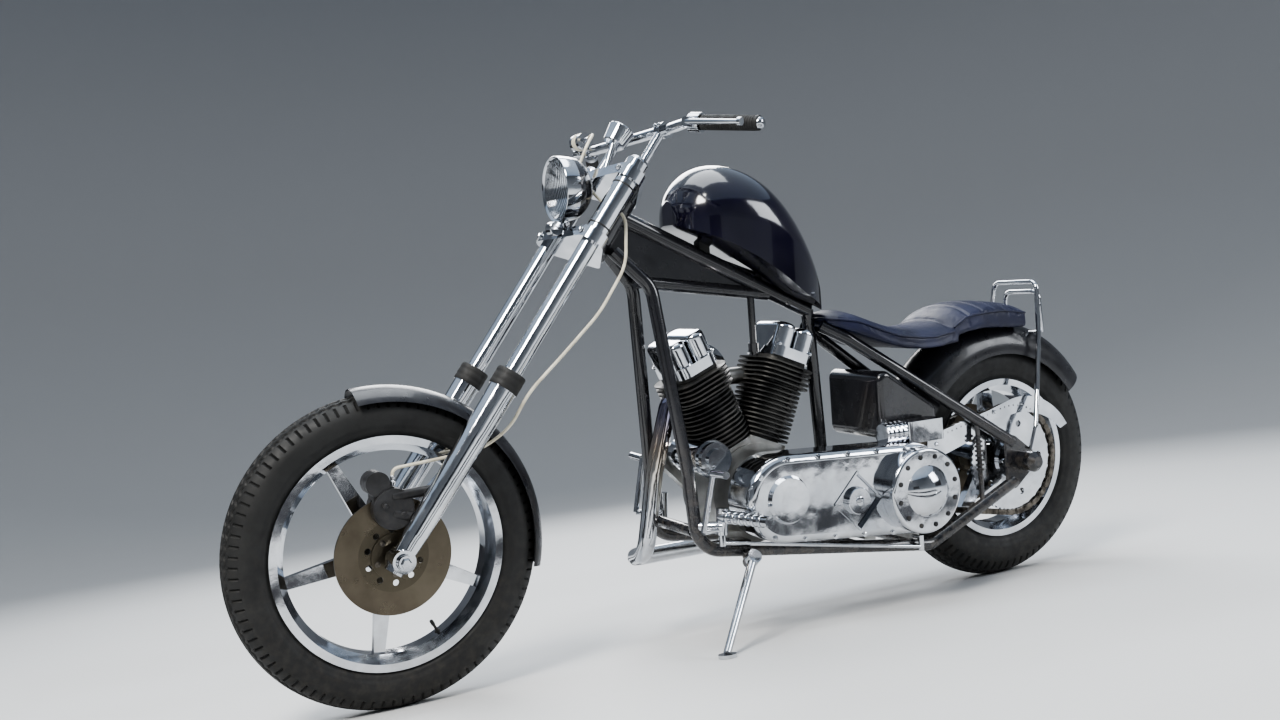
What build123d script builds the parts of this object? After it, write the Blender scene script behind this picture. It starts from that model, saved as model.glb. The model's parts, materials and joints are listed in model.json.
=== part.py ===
# Chopper motorcycle with a raked fork, parked on its side stand, in millimetres.
# It is drawn upright and then leaned: X runs rearward from the rear axle, the left side is -Y,
# and Z goes up from the ground. The last lines lean it onto its stand and centre it.
import os
from math import atan2, cos, degrees, radians, sin, tan

from build123d import *

# Driving dimensions
wheelbase = 1715.0
rake = 37.5
park_lean = 8.0
front_tyre_radius = 345.0
front_tyre_width = 104.0
front_rim_radius = 255.0
rear_tyre_radius = 330.0
rear_tyre_width = 132.0
rear_rim_radius = 217.0
fork_half_width = 120.0
stem_setback = 60.0
engine_x = -806.0
engine_z = 350.0
clutch_x = -427.0
clutch_z = 322.0
rail_z = 150.0
rail_front_z = 246.0
rail_front_x = -1006.0
rail_rear_x = -320.0

# Fits and clearances
seat_gap = 0.3
pin_gap = 0.5

# Directions along and across the fork
fork_up = Vector(sin(radians(rake)), 0, cos(radians(rake)))
fork_back = Vector(cos(radians(rake)), 0, -sin(radians(rake)))
across = Vector(0, 1, 0)
front_axle_at = Vector(-wheelbase, 0, front_tyre_radius)
rear_axle_at = Vector(0, 0, rear_tyre_radius)
crank_at = Vector(engine_x, 0, engine_z)

pieces = {}


def keep(builder, label):
    """Store a finished piece under its own name."""
    pieces[label] = builder


def mirrored(point, side):
    """A point given for the right side, on the side asked for (-1 is left)."""
    return (point[0], point[1] * side, point[2])


def fork_point(along, side=0.0, back=0.0):
    """A point in fork coordinates: up the leg from the axle, to the side, and behind the leg line."""
    return front_axle_at + fork_up * along + fork_back * back + across * side


def fork_plane(along, side=0.0, back=0.0):
    """A plane square to the fork legs; its x is to the right and its y is forward."""
    return Plane(origin=fork_point(along, side, back), x_dir=(0, 1, 0), z_dir=fork_up)


def wheel_plane(axle):
    """The half section plane of a wheel: x across the bike, y out from the axle."""
    return Plane(origin=axle, x_dir=(0, 1, 0), z_dir=(1, 0, 0))


def side_plane(side_y, at=(0, 0)):
    """A plane seen from the left, at side_y, with its origin at a place (x, z)."""
    return Plane(origin=(at[0], side_y, at[1]), x_dir=(1, 0, 0), z_dir=(0, -1, 0))


def axle_axis(axle):
    return Axis(axle, (0, 1, 0))


def bent_tube(points, radius, bend=0.0):
    """A round tube or bar along straight runs joined by arcs."""
    with BuildPart() as tube:
        with BuildLine() as route:
            if bend > 0:
                FilletPolyline(*points, radius=bend)
            else:
                Polyline(*points)
        with BuildSketch(Plane(origin=route.line @ 0, z_dir=route.line % 0)):
            Circle(radius)
        sweep(path=route.line, transition=Transition.ROUND)
    return tube.part


def bar(start, end, radius, end_radius=None):
    """A straight round bar, tapered when an end radius is given."""
    start = Vector(*start)
    end = Vector(*end)
    length = (end - start).length
    with BuildPart() as rod:
        with BuildSketch(Plane(origin=start, z_dir=end - start)):
            Circle(radius)
        if end_radius is None:
            extrude(amount=length)
        else:
            with BuildSketch(Plane(origin=end, z_dir=end - start)):
                Circle(end_radius)
            loft()
    return rod.part


def disc(centre, radius, width, direction=(0, 1, 0), bore=0.0):
    """A round plate centred on a point, with an optional bore."""
    with BuildPart() as plate:
        with BuildSketch(Plane(origin=centre, z_dir=direction)):
            Circle(radius)
            if bore > 0:
                Circle(bore, mode=Mode.SUBTRACT)
        extrude(amount=width / 2, both=True)
    return plate.part


def dome_middle(radius, rise):
    """The point halfway along a round dome's section, as (distance from the axis, height)."""
    ball = (radius * radius + rise * rise) / (2 * rise)
    half_turn = atan2(radius, ball - rise) / 2
    return (ball * sin(half_turn), ball * cos(half_turn) - ball + rise)


def turned(axle, outline):
    """A ring turned about an axle from straight runs of (across, radius)."""
    with BuildPart() as ring:
        with BuildSketch(wheel_plane(axle)):
            with BuildLine():
                Polyline(*outline, close=True)
            make_face()
        revolve(axis=axle_axis(axle))
    return ring.part


def rail_height(at_x):
    """The height of the bottom rails' centre line, which rise toward the front."""
    return rail_z + (rail_front_z - rail_z) * (at_x - rail_rear_x) / (rail_front_x - rail_rear_x)


def rail_plane(at_x, lift):
    """A plane lying along the bottom rails, lifted square to them."""
    run = Vector(rail_rear_x - rail_front_x, 0, rail_z - rail_front_z).normalized()
    rise = Vector(-run.Z, 0, run.X)
    return Plane(origin=Vector(at_x, 0, rail_height(at_x)) + rise * lift, x_dir=run, z_dir=rise)


# Wheels
# Columns: name, axle, tyre radius, tyre width, rim radius, rim half width, hub radius,
# hub half width, spoke width at the hub, spoke width at the rim, spoke half thickness,
# turn of the first spoke
wheel_table = (
    ("front", front_axle_at, front_tyre_radius, front_tyre_width, front_rim_radius, 44.0, 38.0,
     58.0, 46.0, 24.0, 9.0, -99.0),
    ("rear", rear_axle_at, rear_tyre_radius, rear_tyre_width, rear_rim_radius, 56.0, 48.0,
     66.0, 56.0, 32.0, 11.0, -54.0),
)
flange_height = 12.0
flange_thick = 6.0
rim_wall = 5.0
well_depth = 16.0
spoke_count = 5
axle_radius = 10.0
bead_rise = 1.5
spoke_edge = 4.0

for (name, axle, tyre_radius, tyre_width, rim_radius, rim_half, hub_radius, hub_half,
     spoke_hub, spoke_rim, spoke_half, spoke_turn) in wheel_table:
    half_width = tyre_width / 2
    bead_seat = rim_radius - flange_height
    bead_half = rim_half - flange_thick - seat_gap
    shoulder = tyre_radius - half_width
    with BuildPart() as tyre:
        with BuildSketch(wheel_plane(axle)):
            with BuildLine():
                Line((-bead_half, bead_seat + seat_gap), (bead_half, bead_seat + seat_gap))
                Line((bead_half, bead_seat + seat_gap), (bead_half, rim_radius + bead_rise))
                TangentArc((half_width, shoulder), (bead_half, rim_radius + bead_rise),
                           tangent=(0, -1), tangent_from_first=True)
                ThreePointArc((half_width, shoulder), (0, tyre_radius), (-half_width, shoulder))
                TangentArc((-half_width, shoulder), (-bead_half, rim_radius + bead_rise),
                           tangent=(0, -1), tangent_from_first=True)
                Line((-bead_half, rim_radius + bead_rise), (-bead_half, bead_seat + seat_gap))
            make_face()
        revolve(axis=axle_axis(axle))
    keep(tyre, f"{name}_tyre")

    rim_outline = (
        (-rim_half, rim_radius), (-rim_half + flange_thick, rim_radius),
        (-rim_half + flange_thick, bead_seat), (-rim_half / 2, bead_seat),
        (-rim_half / 3, bead_seat - well_depth + rim_wall), (rim_half / 3, bead_seat - well_depth + rim_wall),
        (rim_half / 2, bead_seat), (rim_half - flange_thick, bead_seat),
        (rim_half - flange_thick, rim_radius), (rim_half, rim_radius),
        (rim_half, bead_seat - rim_wall), (rim_half / 3 + rim_wall, bead_seat - well_depth - rim_wall),
        (-rim_half / 3 - rim_wall, bead_seat - well_depth - rim_wall), (-rim_half, bead_seat - rim_wall),
    )
    spoke_end = bead_seat - well_depth
    with BuildPart() as rim:
        add(turned(axle, rim_outline))
        with BuildSketch(Plane(origin=axle, x_dir=(1, 0, 0), z_dir=(0, -1, 0))):
            with PolarLocations(0, spoke_count, start_angle=spoke_turn):
                Polygon((0, -spoke_hub / 2), (spoke_end, -spoke_rim / 2), (spoke_end, spoke_rim / 2),
                        (0, spoke_hub / 2), align=None)
        extrude(amount=spoke_half, both=True)
        add(disc(axle, hub_radius, 2 * hub_half))
        add(disc(axle, hub_radius + spoke_edge * 3, 2 * spoke_half + spoke_edge * 2))
        add(disc(axle, axle_radius + pin_gap, 2 * hub_half + 1), mode=Mode.SUBTRACT)
    keep(rim, f"{name}_rim")

# Brake discs and rear sprocket
front_disc_y = -66.0
front_disc_radius = 127.0
disc_thick = 5.0
carrier_radius = 72.0
carrier_hole_radius = 7.0
carrier_hole_count = 10
carrier_hole_circle = 58.0
rear_disc_y = 84.0
rear_disc_radius = 140.0
sprocket_y = -90.0
tooth_count = 58
chain_pitch = 15.875
sprocket_pitch_radius = chain_pitch / 2 / sin(radians(180 / tooth_count))
tooth_drop = 6.0
tooth_depth = 7.0
sprocket_thick = 7.0

# Columns: node, axle, y of the plate, outer radius, hub radius it bolts to, hub side reach
disc_table = (
    ("front_disc", front_axle_at, front_disc_y, front_disc_radius, 58.0),
    ("rear_disc", rear_axle_at, rear_disc_y, rear_disc_radius, 66.0),
)
for node, axle, plate_y, plate_radius, reach in disc_table:
    outward = 1 if plate_y > 0 else -1
    plate_at = axle + across * plate_y
    with BuildPart() as brake_disc:
        add(disc(plate_at, plate_radius, disc_thick))
        with BuildSketch(Plane(origin=plate_at, z_dir=(0, 1, 0))):
            with PolarLocations(carrier_hole_circle, carrier_hole_count):
                Circle(carrier_hole_radius)
        extrude(amount=disc_thick, both=True, mode=Mode.SUBTRACT)
        boss_mid = (abs(plate_y) + reach) / 2 * outward
        add(disc(axle + across * boss_mid, carrier_radius - carrier_hole_radius * 3.2,
                 abs(plate_y) - reach - seat_gap))
        add(disc(plate_at, carrier_radius - carrier_hole_radius * 3.2, disc_thick * 2.4))
        add(disc(axle + across * (boss_mid), axle_radius + pin_gap, 60.0), mode=Mode.SUBTRACT)
    keep(brake_disc, node)

with BuildPart() as rear_sprocket:
    with BuildSketch(side_plane(sprocket_y, (0, rear_tyre_radius))):
        Circle(sprocket_pitch_radius - tooth_drop)
        with PolarLocations(sprocket_pitch_radius - tooth_drop, tooth_count):
            Rectangle(tooth_depth, chain_pitch * 0.52, mode=Mode.SUBTRACT)
        Circle(axle_radius + pin_gap, mode=Mode.SUBTRACT)
    extrude(amount=sprocket_thick / 2, both=True)
    hub_reach = 66.0
    add(disc(rear_axle_at - across * (hub_reach + (abs(sprocket_y) - hub_reach) / 2 + seat_gap / 2),
             62.0, abs(sprocket_y) - hub_reach - seat_gap))
    add(disc(rear_axle_at + across * (sprocket_y - sprocket_thick), 54.0, sprocket_thick * 1.2))
    add(disc(rear_axle_at + across * sprocket_y, axle_radius + pin_gap, 80.0), mode=Mode.SUBTRACT)
    with BuildSketch(side_plane(sprocket_y, (0, rear_tyre_radius))):
        with PolarLocations(98.0, 5):
            Circle(9.0)
    extrude(amount=sprocket_thick, both=True, mode=Mode.SUBTRACT)
keep(rear_sprocket, "rear_sprocket")

# Fork legs: chrome tubes in covers, black dust collars and tapered sliders
# Columns: distance up the leg from the axle, radius
slider_table = ((-30.0, 21.0), (60.0, 26.0), (300.0, 30.0), (418.0, 31.0))
collar_base = 418.0
collar_top = 460.0
collar_radius = 33.0
tube_radius = 20.5
cover_radius = 26.0
lower_tree_at = 815.0
upper_tree_at = 985.0
tree_thick = 28.0
tube_top = 1016.0
cap_top = 1030.0
axle_boss_radius = 25.0
axle_boss_half = 30.0
lug_half = 18.0

cover_base = lower_tree_at + tree_thick / 2 + seat_gap
cover_end = upper_tree_at - tree_thick / 2 - seat_gap
cap_base = upper_tree_at + tree_thick / 2 + seat_gap
leg_outline = slider_table + (
    (collar_base, collar_radius), (collar_top, collar_radius), (collar_top, tube_radius),
    (cover_base, tube_radius), (cover_base, cover_radius), (cover_end, cover_radius),
    (cover_end, tube_radius), (cap_base, tube_radius), (cap_base, cover_radius),
    (cap_top - 8, cover_radius), (cap_top, tube_radius),
)
for side_name, side in (("left", -1), ("right", 1)):
    leg_y = fork_half_width * side
    leg_section = Plane(origin=fork_point(0, leg_y), x_dir=(0, 1, 0), z_dir=fork_back)
    with BuildPart() as fork_leg:
        with BuildSketch(leg_section):
            with BuildLine():
                Polyline((0, slider_table[0][0]), *[(radius, along) for along, radius in leg_outline],
                         (0, cap_top), close=True)
            make_face()
        revolve(axis=Axis(fork_point(0, leg_y), fork_up))
        add(disc(front_axle_at + across * leg_y, axle_boss_radius, axle_boss_half * 2))
        add(disc(front_axle_at + across * leg_y, axle_radius + seat_gap, axle_boss_half * 2 + 2),
            mode=Mode.SUBTRACT)
    keep(fork_leg, f"fork_leg_{side_name}")

# Fork trees with the steering stem
stem_radius = 14.0
tree_leg_boss = 33.0
tree_stem_boss = 32.0
for node, tree_at in (("lower_tree", lower_tree_at), ("upper_tree", upper_tree_at)):
    with BuildPart() as tree:
        with BuildSketch(fork_plane(tree_at - tree_thick / 2)):
            with Locations((-fork_half_width, 0), (fork_half_width, 0)):
                Circle(tree_leg_boss)
            with Locations((0, -stem_setback)):
                Circle(tree_stem_boss)
            make_hull()
            with Locations((-fork_half_width, 0), (fork_half_width, 0)):
                Circle(tube_radius + seat_gap, mode=Mode.SUBTRACT)
        extrude(amount=tree_thick)
        if node == "lower_tree":
            stem_top = upper_tree_at - tree_thick / 2 - seat_gap
            add(bar(fork_point(tree_at, 0, stem_setback), fork_point(stem_top, 0, stem_setback), stem_radius))
        else:
            nut_at = upper_tree_at + tree_thick / 2
            add(bar(fork_point(nut_at, 0, stem_setback), fork_point(nut_at + 14, 0, stem_setback), 19.0))
    keep(tree, node)

# Handlebar on its risers
riser_half = fork_half_width
riser_radius = 11.0
riser_back = 11.0
bar_radius = 12.7
bar_at = 1123.0
bar_back = 14.4
bar_points = (
    (760.0 - wheelbase, 415.0, front_tyre_radius + 857.0),
    (685.0 - wheelbase, 262.0, front_tyre_radius + 881.0),
)
bar_bend = 60.0
bar_centre = fork_point(bar_at, 0, bar_back)
bar_flat_half = 150.0
bar_route = (
    mirrored(bar_points[0], -1), mirrored(bar_points[1], -1),
    (bar_centre.X, -bar_flat_half, bar_centre.Z), (bar_centre.X, bar_flat_half, bar_centre.Z),
    bar_points[1], bar_points[0],
)
with BuildPart() as handlebar:
    add(bent_tube(bar_route, bar_radius, bar_bend))
    for side in (-1, 1):
        riser_base = fork_point(cap_top + seat_gap, riser_half * side, riser_back)
        add(bar(riser_base, fork_point(bar_at, riser_half * side, riser_back), riser_radius))
        add(disc(fork_point(bar_at, riser_half * side, bar_back), bar_radius + 7, 30.0))
keep(handlebar, "handlebar")

# Grips with their levers
grip_radius = 17.0
grip_start = 0.12
lever_reach = 62.0
cylinder_at = front_axle_at + Vector(657.0, 256.0, 905.0)
cylinder_half = 26.0
for side_name, side in (("left", -1), ("right", 1)):
    outer = Vector(*mirrored(bar_points[0], side))
    inner = Vector(*mirrored(bar_points[1], side))
    outward = (outer - inner).normalized()
    forward = Vector(0, 0, 1).cross(outward).normalized() * side
    grip_base = inner + outward * 34
    with BuildPart() as grip:
        add(bar(grip_base, outer + outward * 6, grip_radius))
        add(bar(outer + outward * 6, outer + outward * 16, grip_radius * 0.8, grip_radius * 0.4))
        add(bar(inner + outward * 8, outer + outward * seat_gap, bar_radius + seat_gap), mode=Mode.SUBTRACT)
        add(bent_tube(bar_route, bar_radius + seat_gap, bar_bend), mode=Mode.SUBTRACT)
    keep(grip, f"grip_{side_name}")
    with BuildPart() as control:
        add(bar(inner + outward * 4, inner + outward * 32, bar_radius + 9))
        perch = inner + outward * 18
        add(bar(perch + forward * 14, perch + forward * 44, 11.0))
        lever_end = outer + forward * lever_reach - outward * 8
        add(bar(perch + forward * 38, lever_end, 7.0, 5.0))
        add(bar(lever_end, lever_end + outward * 8, 9.0))
        if side > 0:
            add(bar(cylinder_at - across * cylinder_half, cylinder_at + across * cylinder_half, 21.0))
            add(bar(perch, cylinder_at, 12.0))
        add(bent_tube(bar_route, bar_radius + seat_gap, bar_bend), mode=Mode.SUBTRACT)
    keep(control, f"lever_{side_name}")

# Instrument above the upper tree
gauge_radius = 33.0
gauge_depth = 44.0
gauge_base = fork_point(upper_tree_at + tree_thick / 2 + 68, 0, -34)
with BuildPart() as speedometer:
    add(bar(gauge_base, gauge_base + fork_up * gauge_depth, gauge_radius * 0.82, gauge_radius))
    add(bar(fork_point(upper_tree_at, 0, -12), gauge_base + fork_up * 2, 8.0))
    add(pieces["upper_tree"].part, mode=Mode.SUBTRACT)
keep(speedometer, "speedometer")

# Headlamp on its stalk
lamp_at = front_axle_at + Vector(469.0, 0, 767.0)
lamp_radius = 76.0
lamp_depth = 84.0
lens_bulge = 11.0
lamp_rim = 6.0
stalk_foot_radius = 17.0
with BuildPart() as headlamp:
    with BuildSketch(Plane(origin=lamp_at, x_dir=(1, 0, 0), z_dir=(0, -1, 0))):
        with BuildLine():
            Polyline((4, 0), (4, lamp_radius - lamp_rim), (0, lamp_radius - lamp_rim), (-4, lamp_radius - 2),
                     (-4, lamp_radius), (10, lamp_radius))
            Line((10, lamp_radius), (lamp_depth * 0.5, lamp_radius - 4))
            shell_middle = dome_middle(lamp_radius - 4, lamp_depth * 0.5)
            ThreePointArc((lamp_depth * 0.5, lamp_radius - 4),
                          (lamp_depth * 0.5 + shell_middle[1], shell_middle[0]), (lamp_depth, 0))
            Line((lamp_depth, 0), (4, 0))
        make_face()
    revolve(axis=Axis(lamp_at, (1, 0, 0)))
    stalk_top = lamp_at + Vector(20, 0, -lamp_radius + 1)
    stalk_base = fork_point(lower_tree_at, 0, -tree_leg_boss - stalk_foot_radius - seat_gap)
    add(bar(stalk_base, stalk_top, 9.0))
    add(disc(stalk_base, stalk_foot_radius, 30.0))
    add(pieces["lower_tree"].part, mode=Mode.SUBTRACT)
keep(headlamp, "headlamp")
with BuildPart() as headlamp_lens:
    with BuildSketch(Plane(origin=lamp_at, x_dir=(1, 0, 0), z_dir=(0, -1, 0))):
        with BuildLine():
            glass_edge = lamp_radius - lamp_rim - seat_gap
            lens_middle = dome_middle(glass_edge, lens_bulge)
            ThreePointArc((0, glass_edge), (-lens_middle[1], lens_middle[0]), (-lens_bulge, 0))
            Line((-lens_bulge, 0), (4 - seat_gap, 0))
            Line((4 - seat_gap, 0), (4 - seat_gap, glass_edge))
            Line((4 - seat_gap, glass_edge), (0, glass_edge))
        make_face()
    revolve(axis=Axis(lamp_at, (1, 0, 0)))
keep(headlamp_lens, "headlamp_lens")


def mudguard(axle, crown_radius, shell_radius, wall, start, end, skirt):
    """A bowed guard round a wheel, from one angle to another, counted upward from the rear."""
    centre_radius = crown_radius - shell_radius
    with BuildPart() as guard:
        start_plane = Plane(origin=axle, x_dir=(0, 1, 0),
                            z_dir=(sin(radians(start)), 0, -cos(radians(start))))
        with BuildSketch(start_plane):
            with BuildLine():
                Line((-shell_radius, centre_radius - skirt), (-shell_radius, centre_radius))
                ThreePointArc((-shell_radius, centre_radius), (0, crown_radius), (shell_radius, centre_radius))
                Line((shell_radius, centre_radius), (shell_radius, centre_radius - skirt))
                Line((shell_radius, centre_radius - skirt), (shell_radius - wall, centre_radius - skirt))
                Line((shell_radius - wall, centre_radius - skirt), (shell_radius - wall, centre_radius))
                ThreePointArc((shell_radius - wall, centre_radius), (0, crown_radius - wall),
                              (-shell_radius + wall, centre_radius))
                Line((-shell_radius + wall, centre_radius), (-shell_radius + wall, centre_radius - skirt))
                Line((-shell_radius + wall, centre_radius - skirt), (-shell_radius, centre_radius - skirt))
            make_face()
        revolve(axis=Axis(axle, (0, -1, 0)), revolution_arc=end - start)
    return guard.part


def guard_core(axle, crown_radius, shell_radius):
    """The full round space that a mudguard's outside fills, to trim what sits on it."""
    centre_radius = crown_radius - shell_radius
    with BuildPart() as core:
        with BuildSketch(wheel_plane(axle)):
            with BuildLine():
                Line((-shell_radius, 0), (shell_radius, 0))
                Line((shell_radius, 0), (shell_radius, centre_radius))
                ThreePointArc((shell_radius, centre_radius), (0, crown_radius), (-shell_radius, centre_radius))
                Line((-shell_radius, centre_radius), (-shell_radius, 0))
            make_face()
        revolve(axis=axle_axis(axle))
    return core.part


# Mudguards
guard_wall = 3.0
front_guard_crown = 362.0
front_guard_half = 60.0
front_guard_bow = 34.0
front_guard_start = -14.0
front_guard_end = 98.0
rear_guard_crown = 378.0
rear_guard_shell = 82.0
rear_guard_start = 34.0
rear_guard_end = 158.0
guard_boss_at = 334.0
guard_boss_radius = 8.0
slider_radius_there = 30.4
with BuildPart() as front_fender:
    strip_start = Plane(origin=front_axle_at, x_dir=(0, 1, 0),
                        z_dir=(sin(radians(front_guard_start)), 0, -cos(radians(front_guard_start))))
    with BuildSketch(strip_start):
        with BuildLine():
            edge_at = front_guard_crown - front_guard_bow
            ThreePointArc((-front_guard_half, edge_at), (0, front_guard_crown), (front_guard_half, edge_at))
            Line((front_guard_half, edge_at), (front_guard_half - guard_wall, edge_at))
            ThreePointArc((front_guard_half - guard_wall, edge_at), (0, front_guard_crown - guard_wall),
                          (-front_guard_half + guard_wall, edge_at))
            Line((-front_guard_half + guard_wall, edge_at), (-front_guard_half, edge_at))
        make_face()
    revolve(axis=Axis(front_axle_at, (0, -1, 0)), revolution_arc=front_guard_end - front_guard_start)
    for side in (-1, 1):
        boss_inner = fork_point(guard_boss_at, (front_guard_half - 10) * side)
        boss_outer = fork_point(guard_boss_at, (fork_half_width - slider_radius_there - seat_gap) * side)
        add(bar(boss_inner, boss_outer, guard_boss_radius))
keep(front_fender, "front_fender")
with BuildPart() as rear_fender:
    add(mudguard(rear_axle_at, rear_guard_crown, rear_guard_shell, guard_wall,
                 rear_guard_start, rear_guard_end, 10.0))
keep(rear_fender, "rear_fender")
rear_guard_core = guard_core(rear_axle_at, rear_guard_crown + seat_gap, rear_guard_shell + seat_gap)

# Axles
axle_nut_radius = 17.0
axle_cap_radius = 27.0
axle_cap_shoulder = 180.0
axle_cap_end = 194.0
front_axle_end = fork_half_width + axle_boss_half + 8
plate_y = 132.0
plate_thick = 8.0
rear_axle_end = plate_y + plate_thick / 2 + 16
for node, axle, end_y in (("front_axle", front_axle_at, front_axle_end), ("rear_axle", rear_axle_at, rear_axle_end)):
    seat_y = fork_half_width + axle_boss_half + seat_gap
    if node == "rear_axle":
        seat_y = plate_y + plate_thick / 2 + seat_gap
    with BuildPart() as spindle:
        add(disc(axle, axle_radius, 2 * end_y))
        for side in (-1, 1):
            head_mid = (seat_y + end_y) / 2 * side
            add(disc(axle + across * head_mid, axle_nut_radius, end_y - seat_y))
        if node == "rear_axle":
            cap_inner = axle - across * seat_y
            cap_shoulder = axle - across * axle_cap_shoulder
            add(bar(cap_inner, cap_shoulder, axle_cap_radius))
            add(bar(cap_shoulder, axle - across * axle_cap_end, axle_cap_radius, axle_cap_radius * 0.55))
    keep(spindle, node)
spacer_radius = 16.0

# Callipers
calliper_radius = 44.0
calliper_half = 30.0
front_calliper_at = front_axle_at + Vector(2, front_disc_y, 104)
rear_calliper_at = rear_axle_at + Vector(-112, rear_disc_y, 8)
jaw_gap = 1.0
pot_radius = 26.0
pot_offset = Vector(-28, 0, 56)
with BuildPart() as front_calliper:
    add(disc(front_calliper_at, calliper_radius, calliper_half * 2))
    add(disc(front_calliper_at + pot_offset, pot_radius, calliper_half * 1.7))
    add(disc(front_calliper_at + pot_offset * 0.5, pot_radius, calliper_half * 1.5))
    add(disc(front_axle_at + across * front_disc_y, front_disc_radius + 3, disc_thick + 2 * jaw_gap),
        mode=Mode.SUBTRACT)
    leg_side = -fork_half_width
    arm_start = Vector(front_calliper_at.X, front_disc_y - calliper_half + 9, front_calliper_at.Z)
    add(bar(arm_start + Vector(0, 0, 26), fork_point(168, leg_side + 27), 11.0))
    add(bar(arm_start - Vector(0, 0, 10), fork_point(96, leg_side + 25), 11.0))
    add(bar(fork_point(-30, leg_side), fork_point(300, leg_side), 31.0), mode=Mode.SUBTRACT)
keep(front_calliper, "front_calliper")
with BuildPart() as rear_calliper:
    add(disc(rear_calliper_at, calliper_radius, calliper_half * 2))
    add(disc(rear_axle_at + across * rear_disc_y, rear_disc_radius + 3, disc_thick + 2 * jaw_gap),
        mode=Mode.SUBTRACT)
    bracket_y = plate_y - plate_thick / 2 - 4 - seat_gap
    with BuildSketch(Plane(origin=(0, bracket_y + 4, 0), x_dir=(1, 0, 0), z_dir=(0, -1, 0))):
        with Locations((0, rear_tyre_radius)):
            Circle(30.0)
        with Locations((rear_calliper_at.X, rear_calliper_at.Z)):
            Circle(26.0)
        make_hull()
        with Locations((0, rear_tyre_radius)):
            Circle(axle_radius + seat_gap, mode=Mode.SUBTRACT)
    extrude(amount=8.0)
    add(bar(rear_calliper_at + across * 20, (rear_calliper_at.X, bracket_y, rear_calliper_at.Z), 20.0))
keep(rear_calliper, "rear_calliper")

# Frame: neck, backbone and seat post
frame_radius = 16.0
backbone_radius = 20.0
neck_radius = 30.0
neck_base = lower_tree_at + tree_thick / 2 + pin_gap
neck_top = upper_tree_at - tree_thick / 2 - pin_gap
neck_mid = fork_point((neck_base + neck_top) / 2, 0, stem_setback)
backbone_rear = (-575.0, 0.0, 782.0)
post_foot = (-548.0, 0.0, rail_height(-548.0))
lower_beam_front = (653.0 - wheelbase, 0.0, front_tyre_radius + 542.0)
lower_beam_rear = (-694.0, 0.0, 831.0)
backbone_front = neck_mid + fork_up * 30
with BuildPart() as frame_backbone:
    add(bar(fork_point(neck_base, 0, stem_setback), fork_point(neck_top, 0, stem_setback), neck_radius))
    add(bar(backbone_front, backbone_rear, backbone_radius))
    add(bar(backbone_rear, post_foot, frame_radius))
    add(bar(lower_beam_front, lower_beam_rear, frame_radius))
    with BuildSketch(side_plane(5.0)):
        with BuildLine():
            Polyline((neck_mid.X, neck_mid.Z + 10), (-700, 840), (-700, 832),
                     (659 - wheelbase, front_tyre_radius + 541), (585 - wheelbase, front_tyre_radius + 610),
                     close=True)
        make_face()
    extrude(amount=10.0)
    add(bar(fork_point(neck_base - 60, 0, stem_setback), fork_point(neck_top + 60, 0, stem_setback),
            stem_radius + seat_gap), mode=Mode.SUBTRACT)
keep(frame_backbone, "frame_backbone")

# Frame cradle, one loop a side: downtube, bottom rail, lower stay, axle plate and upper stay
cradle_points = (
    (593.0 - wheelbase, 19.0, front_tyre_radius + 615.0), (671.0 - wheelbase, 48.0, front_tyre_radius + 527.0),
    (-1008.0, 100.0, 420.0),
    (rail_front_x, 118.0, rail_front_z), (rail_rear_x, 122.0, rail_z),
    (-30.0, plate_y, rear_tyre_radius - 52.0),
)
stay_points = (
    (-560.0, 34.0, 740.0), (-500.0, 62.0, 703.0), (-30.0, plate_y, rear_tyre_radius + 52.0),
)
cradle_bend = 70.0
stay_bend = 60.0
strut_low = (-140.0, -127.0, rear_tyre_radius - 101.0)
strut_top = (-136.0, -116.0, rear_tyre_radius + 122.0)
strut_radius = 6.5
spring_radius = 11.0
spring_rings = 8
for side_name, side in (("left", -1), ("right", 1)):
    with BuildPart() as cradle:
        add(bent_tube([mirrored(p, side) for p in cradle_points], frame_radius, cradle_bend))
        add(bent_tube([mirrored(p, side) for p in stay_points], frame_radius, stay_bend))
        with BuildSketch(side_plane(plate_y * side + plate_thick / 2)):
            with Locations((-34, rear_tyre_radius - 50), (-34, rear_tyre_radius + 50)):
                Circle(22.0)
            with Locations((10, rear_tyre_radius)):
                Circle(34.0)
            make_hull()
            with Locations((0, rear_tyre_radius)):
                Circle(axle_radius + seat_gap, mode=Mode.SUBTRACT)
        extrude(amount=plate_thick)
        if side < 0:
            add(bar(strut_low, strut_top, strut_radius))
            for ring in range(spring_rings):
                ring_at = Vector(*strut_low) + (Vector(*strut_top) - Vector(*strut_low)) * (0.42 + 0.055 * ring)
                add(disc(ring_at, spring_radius, 5.0, Vector(*strut_top) - Vector(*strut_low)))
        add(frame_backbone.part, mode=Mode.SUBTRACT)
    keep(cradle, f"frame_cradle_{side_name}")

# Frame cross members
cross_radius = 14.0
# Columns: x, z and half length of each cross tube
cross_table = (
    (-1006.0, 290.0, 101.0), (-548.0, rail_height(-548.0), 112.0), (-332.0, rail_height(-332.0), 112.0),
)
with BuildPart() as frame_crossmembers:
    for cross_x, cross_z, cross_half in cross_table:
        add(disc((cross_x, 0, cross_z), cross_radius, cross_half * 2))
    for bracket_x in (engine_x - 90, engine_x + 70):
        for side in (-1, 1):
            with BuildSketch(rail_plane(bracket_x, frame_radius + seat_gap)):
                with Locations((0, 111.0 * side)):
                    Rectangle(46.0, 48.0)
            extrude(amount=10.0)
    add(frame_backbone.part, mode=Mode.SUBTRACT)
    for side in (-1, 1):
        add(bent_tube([mirrored(p, side) for p in cradle_points], frame_radius, cradle_bend), mode=Mode.SUBTRACT)
keep(frame_crossmembers, "frame_crossmembers")

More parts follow.
